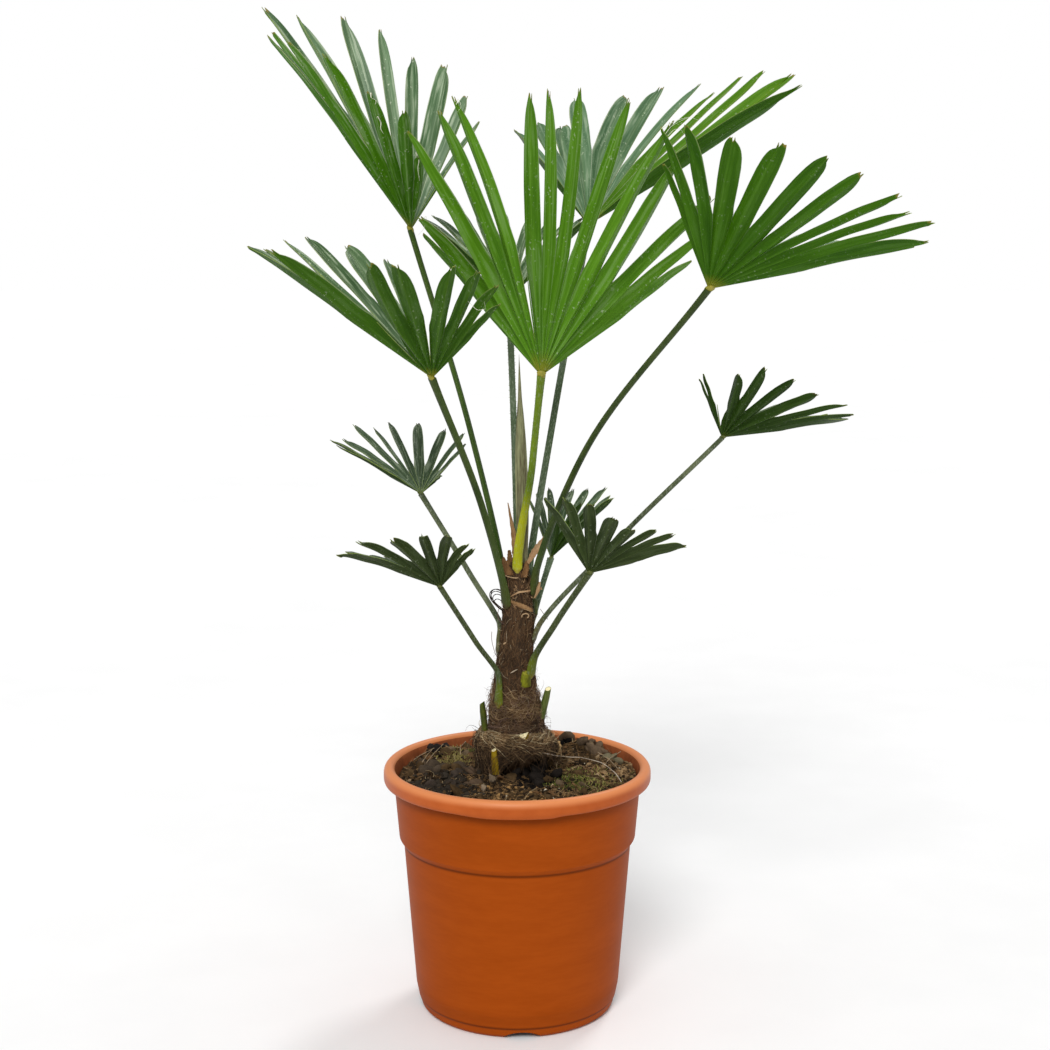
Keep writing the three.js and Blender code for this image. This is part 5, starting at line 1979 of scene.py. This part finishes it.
@dataclass
class Blade:
    """A fan blade that repeats the leaflet round its hub."""

    sizes: FrondSizes
    rule: BladeRule
    pattern: Pattern

    def frame(self) -> None:
        """Works out the blade's own directions from its facing, lean, roll and cup."""
        sizes = self.sizes
        out, lean, roll = heading(sizes.facing), math.radians(sizes.lean), math.radians(sizes.roll)
        middle = out * math.sin(lean) + UP * math.cos(lean)
        upper = -out * math.cos(lean) + UP * math.sin(lean)
        level = np.cross(UP, out)
        inner = upper * math.cos(roll) + level * math.sin(roll)
        self.cross = level * math.cos(roll) - upper * math.sin(roll)
        self.cup = math.radians(sizes.cup)
        self.axis = middle * math.cos(self.cup) + inner * math.sin(self.cup)
        self.fore = middle * math.sin(self.cup) - inner * math.cos(self.cup)

    def radial(self, turn: Array) -> Array:
        """Returns the direction away from the cone's axis at turns round it."""
        turn = np.asarray(turn)[..., None]
        return self.fore * np.cos(turn) + self.cross * np.sin(turn)

    def ray(self, turn: Array) -> Array:
        """Returns the direction from the hub along the cone."""
        return self.axis * math.cos(self.cup) + self.radial(turn) * math.sin(self.cup)

    def inward(self, turn: Array) -> Array:
        """Returns the direction that the blade's upper side faces."""
        return self.axis * math.sin(self.cup) - self.radial(turn) * math.cos(self.cup)

    def sideways(self, turn: Array) -> Array:
        """Returns the direction round the cone."""
        turn = np.asarray(turn)[..., None]
        return self.cross * np.cos(turn) - self.fore * np.sin(turn)

    def share(self, turn: float) -> float:
        """Returns a leaflet's length at a turn, as a share of the middle one's."""
        side = 0 if turn < 0 else 1
        reach = math.radians(self.sizes.spread[side])
        return 1 - (1 - self.sizes.ends[side]) * abs(turn / reach) ** self.rule.taper

    def outline(self, free: Array) -> Array:
        """Returns a leaflet's half width along its free part, as a share of its half width at the cut."""
        slender = np.array((1.0, 0.97, 0.93, 0.83, 0.7, 0.57, 0.43, 0.28, 0.1))
        broad = np.array((1.0, 1.03, 1.17, 1.25, 1.2, 1.06, 0.82, 0.5, 0.16))
        stations = (0.0, 0.2, 0.45, 0.65, 0.78, 0.86, 0.92, 0.965, 1.0)
        return np.interp(free, stations, slender + (broad - slender) * self.sizes.form)

    def leaflets(self) -> Iterator[Leaflet]:
        """Yields the leaflets, cut and sized from the solids' own stream of numbers."""
        sizes, rule = self.sizes, self.rule
        stream = repeatable(sizes.seed)
        length, edges = sizes.length * MM, sizes.edges()
        cuts = []
        for turn in edges:
            depth = rule.sinus + (next(stream) - 0.5) * 2 * rule.sinus_spread
            cuts.append(length * self.share(turn) * depth * sizes.depth)
        for number, (before, after) in enumerate(zip(edges, edges[1:])):
            turn, step = (before + after) / 2, after - before
            shift, size = sizes.moves.get(number, (0.0, 1.0))
            loose = rule.held if number in sizes.moves else 1.0
            tall = length * self.share(turn) * size * (1 + (next(stream) - 0.5) * 2 * rule.length_spread * loose)
            slew = (next(stream) - 0.5) * rule.turn_spread * step * loose + math.radians(shift) / 2
            yield Leaflet(number, turn, step, (cuts[number], cuts[number + 1]), tall, slew, loose)

    def reaches(self, leaflet: Leaflet, free: Array, rng: np.random.Generator) -> Array:
        """Returns how far from the hub the leaflet's points lie: up to its cuts, then on to its torn, notched tip."""
        sizes, rule = self.sizes, self.rule
        x, v, _ = self.pattern.points.T
        across = np.abs(x)
        left, right = leaflet.cuts
        near = np.clip(v / rule.joint, 0, 1)
        middle_cut = (left + right) / 2 * (rule.left_out if leaflet.number in sizes.missing else 1)
        cut_here = middle_cut * (1 - across) + np.where(x < 0, left, right) * across
        notch = rule.notch * (1 - smoothstep(across, 0.0, 0.4)) * smoothstep(free, 0.9, 1.0)
        column = np.searchsorted(np.unique(x.round(3)), x.round(3))
        torn = sizes.ragged * rule.torn * np.abs(rng.normal(size=rule.columns + 1))[column]
        end = leaflet.tall * (1 - notch - torn * smoothstep(free, 0.85, 1.0))
        return near * cut_here + free * (end - cut_here)

    def lay(self, leaflet: Leaflet, rng: np.random.Generator) -> tuple[Array, Array]:
        """Lays the pattern as one leaflet: on the cone up to its cuts, then free, with a twist, a sway and a droop.

        Args:
            leaflet: Where it lies and how long it is.
            rng: The blade's own random stream.

        Returns:
            The places of its points and their chart.
        """
        sizes, rule = self.sizes, self.rule
        x, v, z = self.pattern.points.T
        joint, turn, tall = rule.joint, leaflet.turn, leaflet.tall
        split = sum(leaflet.cuts) / 2
        half = split * math.sin(self.cup) * leaflet.step / 2
        free = np.clip((v - joint) / (1 - joint), 0, 1) ** rule.crowding
        reach = self.reaches(leaflet, free, rng)
        skew = rng.choice((-1, 1)) * rng.uniform(*rule.skew)
        wide = half * self.outline(np.clip(free * (1 + skew * np.sign(x)), 0, 1))
        hub, angle = np.array(sizes.hub) * MM, turn + x * leaflet.step / 2
        cone_fold = rule.pleat * reach * math.sin(self.cup) * leaflet.step / 2
        on_cone = hub + self.ray(angle) * reach[:, None] + self.inward(angle) * (z * cone_fold)[:, None]
        fold = rule.pleat * (1 - rule.unfold * free)
        twist = (rng.normal(0, rule.twist) + math.radians(sizes.rolls.get(leaflet.number, 0))) * free
        sway = rng.normal(0, rule.sway * leaflet.loose) * tall * free**2
        curl = -(sizes.droop * (0.6 + 0.8 * rng.random())) * tall * free**2
        ripple = rule.ripple * np.sin(free * rng.uniform(*rule.waves) + rng.uniform(0, 6)) * free
        axis_turn = turn + leaflet.slew * free * 2
        cosine, sine = np.cos(twist)[:, None], np.sin(twist)[:, None]
        sideways, inward = self.sideways(axis_turn), self.inward(axis_turn)
        lateral, normal = sideways * cosine + inward * sine, inward * cosine - sideways * sine
        flat = hub + self.ray(axis_turn) * reach[:, None] + inward * (curl + ripple)[:, None]
        flat += lateral * (x * wide + sway)[:, None] + normal * (z * wide * fold)[:, None]
        weight = smoothstep(free, 0.0, rule.seam)[:, None]
        near = np.clip(v / joint, 0, 1)
        along = np.where(v <= joint, near * split / tall, split / tall + free * (1 - split / tall))
        return on_cone * (1 - weight) + flat * weight, np.column_stack([(x + 1) / 2, along])

    def build(self, materials: Sequence[Material]) -> Piece:
        """Builds the blade as one sheet with its two skins.

        Args:
            materials: The outer skin, the inner skin and the edge, then those of the leaflets with painted sunlight.

        Returns:
            The finished piece.
        """
        self.frame()
        sizes, rule = self.sizes, self.rule
        rng = np.random.default_rng(sizes.seed)
        every, along = self.pattern.faces, self.pattern.points[:, 1]
        web = every[along[every].max(axis=1) <= rule.joint + 1e-6]
        points, faces, charts, tints, skins = [], [], [], [], []
        for leaflet in self.leaflets():
            place, chart = self.lay(leaflet, rng)
            use = web if leaflet.number in sizes.missing else every
            faces.append(use + len(points) * len(place))
            points.append(place)
            charts.append(chart)
            tints.append(np.full(len(place), rng.random()))
            skins += [SUNLIT_SLOT if leaflet.number in sizes.bright else 0] * len(use)
        piece = joined(f"fan_{sizes.name}", *(np.concatenate(part) for part in (points, faces, charts, tints)))
        dress(piece, *materials)
        piece.data.polygons.foreach_set("material_index", skins)
        with editing(piece):
            bpy.ops.mesh.remove_doubles(threshold=1e-6)
            bpy.ops.mesh.delete_loose()
        bake_modifier(
            piece, "SOLIDIFY", thickness=rule.thickness, offset=0.0, use_rim=True,
            material_offset=1, material_offset_rim=2,
        )
        soften(piece, 60)
        return declare(piece, "blade", f"blade_{sizes.name}")


@dataclass
class Stalk:
    """A leaf stalk with toothed edges, from its clasping foot on the trunk to the blade's hub."""

    sizes: FrondSizes
    trunk: Trunk
    sheath: float = 34.0
    sheath_reach: float = 0.86
    sides: int = 16
    stations: int = 64
    foot_length: float = 0.018
    tooth_gap: float = 0.0042

    def __post_init__(self) -> None:
        """Works out the stalk's line once: a foot on the coat, then the solid's curve from the heel up."""
        sizes, trunk = self.sizes, self.trunk
        line = self.solid_line()
        bearing, drop, heel = sizes.foot
        stand = np.array((0.4 + sizes.stand) * MM)
        sole = trunk.surface(np.array((sizes.root - drop) * MM), np.array(math.radians(bearing)), stand)
        first = int(np.searchsorted(runs(line), heel * MM))
        gap = np.linalg.norm(line[first] - sole)
        lift = self.bend(sole, line[first], UP * gap, unit(line[first + 1] - line[first]) * gap)
        self.path = np.concatenate([lift, line[first:]])
        self.run = runs(self.path)
        self.foot_share = self.foot_length / self.run[-1]

    def on_trunk(self, height: float) -> Array:
        """Returns the place where the solid's sheath lies, at a height above the soil in millimetres."""
        out = unit(np.array(self.sizes.hub) * MM * (1, 1, 0))
        heart = np.array([self.trunk.centre(height * MM), 0, self.trunk.foot + height * MM])
        return out * (self.trunk.radius(height * MM) * self.sheath_reach) + heart

    def solid_line(self) -> Array:
        """Returns the solid stalk's curve, from its root to the hub."""
        sizes = self.sizes
        hub = np.array(sizes.hub) * MM
        knots = [self.on_trunk(sizes.root - self.sheath), self.on_trunk(sizes.root)]
        chord = unit(hub - knots[1])
        lift = unit(UP - chord * (UP @ chord))
        knots += [knots[1] + (hub - knots[1]) * 0.45 + lift * sizes.bow * MM, hub]
        knots.append(2 * knots[-1] - knots[-2])
        dense = []
        for index in (1, 2):
            before, start, end, after = knots[index - 1:index + 3]
            gaps = [max(np.linalg.norm(b - a), 1e-6) ** 0.5 for a, b in ((before, start), (start, end), (end, after))]
            leave = (start - before) / gaps[0] - (end - before) / (gaps[0] + gaps[1]) + (end - start) / gaps[1]
            arrive = (end - start) / gaps[1] - (after - start) / (gaps[1] + gaps[2]) + (after - end) / gaps[2]
            dense.append(self.bend(start, end, leave * gaps[1], arrive * gaps[1]))
        return np.concatenate([*dense, hub[None]])

    @staticmethod
    def bend(start: Array, end: Array, leave: Array, arrive: Array) -> Array:
        """Returns 40 places on the curve between two points with given directions there."""
        t = np.linspace(0, 1, 40, endpoint=False)[:, None]
        return (
            start + leave * t + (3 * (end - start) - 2 * leave - arrive) * t**2
            + (2 * (start - end) + leave + arrive) * t**3
        )

    def line(self, share: Array) -> Array:
        """Returns places along the stalk's line, at shares of its length."""
        return through(self.path, share * self.run[-1], self.run)

    def along(self, share: Array) -> Array:
        """Returns the stalk's direction at shares of its length."""
        return unit(self.line(np.minimum(1, share + 0.01)) - self.line(np.maximum(0, share - 0.01)))

    def sides_of(self, share: Array) -> tuple[Array, Array]:
        """Returns the directions across the stalk and away from its upper side."""
        along = self.along(share)
        out = unit(np.array(self.sizes.hub) * (1, 1, 0))
        foot = heading(self.sizes.foot[0])
        mix = smoothstep(share, self.foot_share * 0.3, self.foot_share * 1.3)[:, None]
        out = unit(foot * (1 - mix) + out * mix)
        across = np.cross(UP, out)
        side = unit(across - along * np.sum(along * across, axis=1)[:, None])
        return side, np.cross(along, side)

    def widths(self, share: Array) -> tuple[Array, Array]:
        """Returns the stalk's half width and half thickness along it."""
        sizes, foot = self.sizes, self.foot_share
        size = sizes.stalk * MM / 2
        closed = 0.3 + 0.7 * smoothstep(share, -0.002, foot * 0.35)
        wide = size * (1 + sizes.flare * (1 - share) ** 4 + 0.3 * share**12) * closed
        wide = wide * (1 + (sizes.heel - 1) * smoothstep(share, foot * 1.8, foot * 0.3))
        thick = size * (sizes.flat + 0.1 * (1 - share) ** 3) * closed
        return wide, thick * (1 - 0.35 * smoothstep(share, foot, foot * 0.3))

    def build(self, material: Material, tooth: Material) -> None:
        """Builds the stalk and its teeth.

        Args:
            material: The stalk's finish.
            tooth: The teeth's finish.
        """
        piece = tube(f"leaf_stalk_{self.sizes.name}", self.sides, self.stations)
        unit_places = positions(piece)
        share = np.interp(unit_places[:, 2], (0, 0.35, 1), (0, self.foot_share * 1.4, 1))
        side, face = self.sides_of(share)
        wide, thick = self.widths(share)
        sway, rise = unit_places[:, 0], unit_places[:, 1]
        upper = np.where(rise > 0, 0.7 * rise - 0.24 * np.maximum(0, 1 - np.abs(sway) * 1.6), rise)
        reshape(piece, self.line(share) + side * (sway * wide)[:, None] + face * (upper * thick)[:, None])
        around = np.arctan2(rise, sway) / (2 * np.pi) + 0.5
        lay_chart(piece.data, np.column_stack([around, share * self.run[-1] * 10]))
        face_outward(piece)
        finished(piece, 50, "stalk", material, f"stalk_{self.sizes.name}")
        self.build_teeth(tooth)

    def build_teeth(self, material: Material) -> None:
        """Sets the fine teeth along both edges."""
        rng = np.random.default_rng(Seed.TOOTH + self.sizes.seed)
        count = int(self.run[-1] / self.tooth_gap)
        share = np.repeat(np.linspace(self.foot_share * 1.3, 0.97, count), 2) + rng.normal(0, 0.003, count * 2)
        share = np.clip(share, 0.1, 0.985)
        way = np.tile((-1.0, 1.0), count)
        side, _ = self.sides_of(share)
        along = self.along(share)
        wide, _ = self.widths(share)
        root = self.line(share) + side * (way * wide * 0.94)[:, None]
        tall = rng.uniform(0.0005, 0.0013, count * 2)[:, None] * (0.6 + 0.9 * share[:, None])
        tip = root + side * way[:, None] * tall + along * tall * rng.uniform(-0.2, 0.6, (count * 2, 1))
        lines = root[:, None] + (tip - root)[:, None] * np.linspace(0, 1, 3)[:, None]
        teeth = strands(f"teeth_{self.sizes.name}", lines, 0.00045 * np.array([1.0, 0.6, 0.12]))
        finished(teeth, 60, "stalk", material)


@dataclass
class Hub:
    """The small crested knuckle where stalk and blade meet."""

    blade: Blade

    def build(self, material: Material, scale: float) -> None:
        """Models the knuckle from a sphere, flattened and drawn along the blade."""
        blade, sizes = self.blade, self.blade.sizes
        add = bpy.ops.mesh.primitive_uv_sphere_add
        piece = started(add, f"hub_{sizes.name}", segments=20, ring_count=12, radius=1)
        with editing(piece):
            choose(lambda place: place.z > 0.3)
            bpy.ops.transform.resize(value=(1.3, 0.8, 1), center_override=(0, 0, 0))
        size = sizes.stalk * MM * scale
        here = np.array(0.0)
        places = positions(piece)
        placed = np.array(sizes.hub) * MM + blade.sideways(here) * (places[:, :1] * size * 0.55)
        placed += blade.inward(here) * (places[:, 1:2] * size * 0.34)
        placed += blade.ray(here) * ((places[:, 2:] * 0.62 + 0.12) * size)
        reshape(piece, placed)
        finished(piece, 80, "stalk", material)


@dataclass
class Crown:
    """All fronds, with the threads at their leaflet cuts."""

    trunk: Trunk
    rule: BladeRule = field(default_factory=BladeRule)

    def build(self) -> None:
        """Builds every frond."""
        leaflet = LeafletPattern(self.rule).pattern
        outer = {look: finish.material() for look, finish in OUTER_SKINS.items()}
        inner = {look: finish.material() for look, finish in INNER_SKINS.items()}
        edge = PlainFinish("leaf_edge", (0.2, 0.27, 0.06), 0.5).material()
        stalks = [finish.material() for finish in STALK_FINISHES]
        tooth = PlainFinish("tooth", (0.3, 0.33, 0.12), 0.6).material()
        knuckle, old_knuckle = (finish.material() for finish in KNUCKLES)
        for sizes in FRONDS:
            blade = Blade(sizes, self.rule, leaflet)
            skins = [outer[sizes.look], inner[sizes.look], edge]
            # Leaflets listed as bright take the sunlit skins: painted light.
            if sizes.bright:
                skins += [outer[BRIGHT], inner[BRIGHT], edge]
            blade.build(skins)
            Stalk(sizes, self.trunk).build(stalks[sizes.stalk_look], tooth)
            aged = sizes.look in (OLD, DULL)
            Hub(blade).build(old_knuckle if aged else knuckle, 0.8 if aged else 1.0)
        self.build_threads()

    def build_threads(self) -> None:
        """Builds the pale threads torn from a few leaflets' tips and cuts, placed in millimetres."""
        lines = np.stack([bent(places) * MM for places in (
            ((140, -196, 967), (153, -202, 974), (167, -201, 978), (178, -201, 973)),
            ((144, -198, 962), (149, -197, 969), (162, -196, 976), (176, -195, 981)),
            ((146, -199, 960), (152, -198, 966), (158, -197, 967), (162, -197, 961)),
            ((-147, -103, 1008), (-147, -101, 1003), (-142, -98, 1001), (-143, -95, 997)),
            ((-142, -83, 986), (-139, -77, 980), (-140, -72, 974), (-137, -67, 969)),
            ((-105, -52, 951), (-102, -45, 943), (-104, -39, 936), (-103, -25, 923)),
            ((-58, -177, 991), (-56, -178, 997), (-53, -176, 989), (-57, -175, 984)),
            ((-48, -166, 801), (-39, -168, 792), (-30, -168, 793), (-32, -168, 801)),
            ((-100, -38, 881), (-95, -38, 887), (-97, -38, 874), (-104, -39, 866)),
        )])
        radii = 0.0006 * (1 - 0.7 * np.linspace(0, 1, LINE_STATIONS))
        fibres("leaf_threads", "blade", PlainFinish("leaf_thread", (0.85, 0.86, 0.68), 0.7, 0.1), lines, radii, 4, 0.4)


@dataclass
class Spear:
    """The unopened leaf in the crown's heart, pleated shut."""

    foot: Point = (0.0068, 0.0, 0.5023)
    tip: Point = (0.0022, 0.0025, 0.738)
    width: float = 0.0125
    thickness: float = 0.009
    folds: int = 9
    finish: GrainFinish = GrainFinish(
        "spear", (0.09, 0.075, 0.035), (0.29, 0.3, 0.15), 170.0, 900.0, 0.08, 0.7, 0.3, 0.0005
    )

    def build(self) -> None:
        """Builds the closed leaf with its folds."""
        piece = tube("spear", 54, 60)
        share, turn = polar(positions(piece))
        swell = 0.75 + 0.5 * np.sin(np.pi * np.minimum(1, share * 1.25)) - 0.75 * share**3
        swell = np.where(share > 0.97, swell * (1 - share) / 0.03 + 0.02, swell)
        reach = swell * (1 - 0.14 * np.abs(np.sin(turn * self.folds / 2 + 1.2 * share)))
        foot, tip = np.array(self.foot), np.array(self.tip)
        placed = foot + (tip - foot) * share[:, None]
        placed[:, 0] += np.cos(turn) * reach * self.width / 2
        placed[:, 1] += np.sin(turn) * reach * self.thickness / 2
        reshape(piece, placed)
        finished(piece, 180, "spear", self.finish.material(), "spear_leaf")


# The studio


@dataclass
class Studio:
    """A pale floor, soft light and the photograph's viewpoint."""

    camera_place: Point = (0.0087, -2.0, 0.86)
    pitch_down: float = 8.8
    lens: float = 62.9
    floor_size: float = 60.0
    sky_light: float = 0.52
    sky_seen: float = 1.0
    suns: tuple[tuple[str, Point, float, float], ...] = (
        ("key", (-0.35, -2.0, 1.75), 22.0, 1.9),
        ("back", (0.9, 1.6, 2.4), 14.0, 0.7),
    )

    def build(self) -> None:
        """Builds the floor, the lights and the camera."""
        floor = started(bpy.ops.mesh.primitive_plane_add, "floor", size=self.floor_size)
        dress(floor, PlainFinish("floor", (0.93, 0.93, 0.93), 0.9, 0.0, 0.02, 1.0).material())
        floor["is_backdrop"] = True
        world = bpy.data.worlds.new("studio")
        bpy.context.scene.world = world
        world.use_nodes = True
        sky = world.node_tree.nodes["Background"]
        sky.inputs["Color"].default_value = (1, 1, 1, 1)
        wiring = Wiring(world.node_tree, keep=True)
        seen = wiring.node("ShaderNodeLightPath").outputs["Is Camera Ray"]
        strength = wiring.scaled(seen, self.sky_seen - self.sky_light, self.sky_light)
        wiring.feed(sky, "Strength", strength)
        for name, place, angle, power in self.suns:
            light = bpy.data.lights.new(name, "SUN")
            light.angle = math.radians(angle)
            light.energy = power
            lamp = bpy.data.objects.new(name, light)
            bpy.context.scene.collection.objects.link(lamp)
            lamp.location = place
            lamp.rotation_euler = (-Vector(place)).to_track_quat("-Z", "Y").to_euler()
        data = bpy.data.cameras.new("viewpoint")
        data.lens = self.lens
        data.sensor_width = 36.0
        camera = bpy.data.objects.new("viewpoint", data)
        bpy.context.scene.collection.objects.link(camera)
        camera.location = self.camera_place
        camera.rotation_euler = (math.radians(90 - self.pitch_down), 0, 0)
        bpy.context.scene.camera = camera
        bpy.context.scene.view_settings.view_transform = "Standard"


def corners() -> list[list[float]]:
    """Returns the shown object's box as plain lists."""
    return [list(corner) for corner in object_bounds()]


def main() -> None:
    """Builds the palm, piece by piece."""
    logging.basicConfig(level=logging.INFO, format="%(message)s")
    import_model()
    trunk = Trunk()
    Studio().build()
    Pot().build()
    Soil().build()
    trunk.build()
    for stub in STUBS:
        stub.build(trunk.foot)
    CrownLitter(trunk).build()
    Crown(trunk).build()
    Spear().build()


if __name__ == "__main__":
    main()
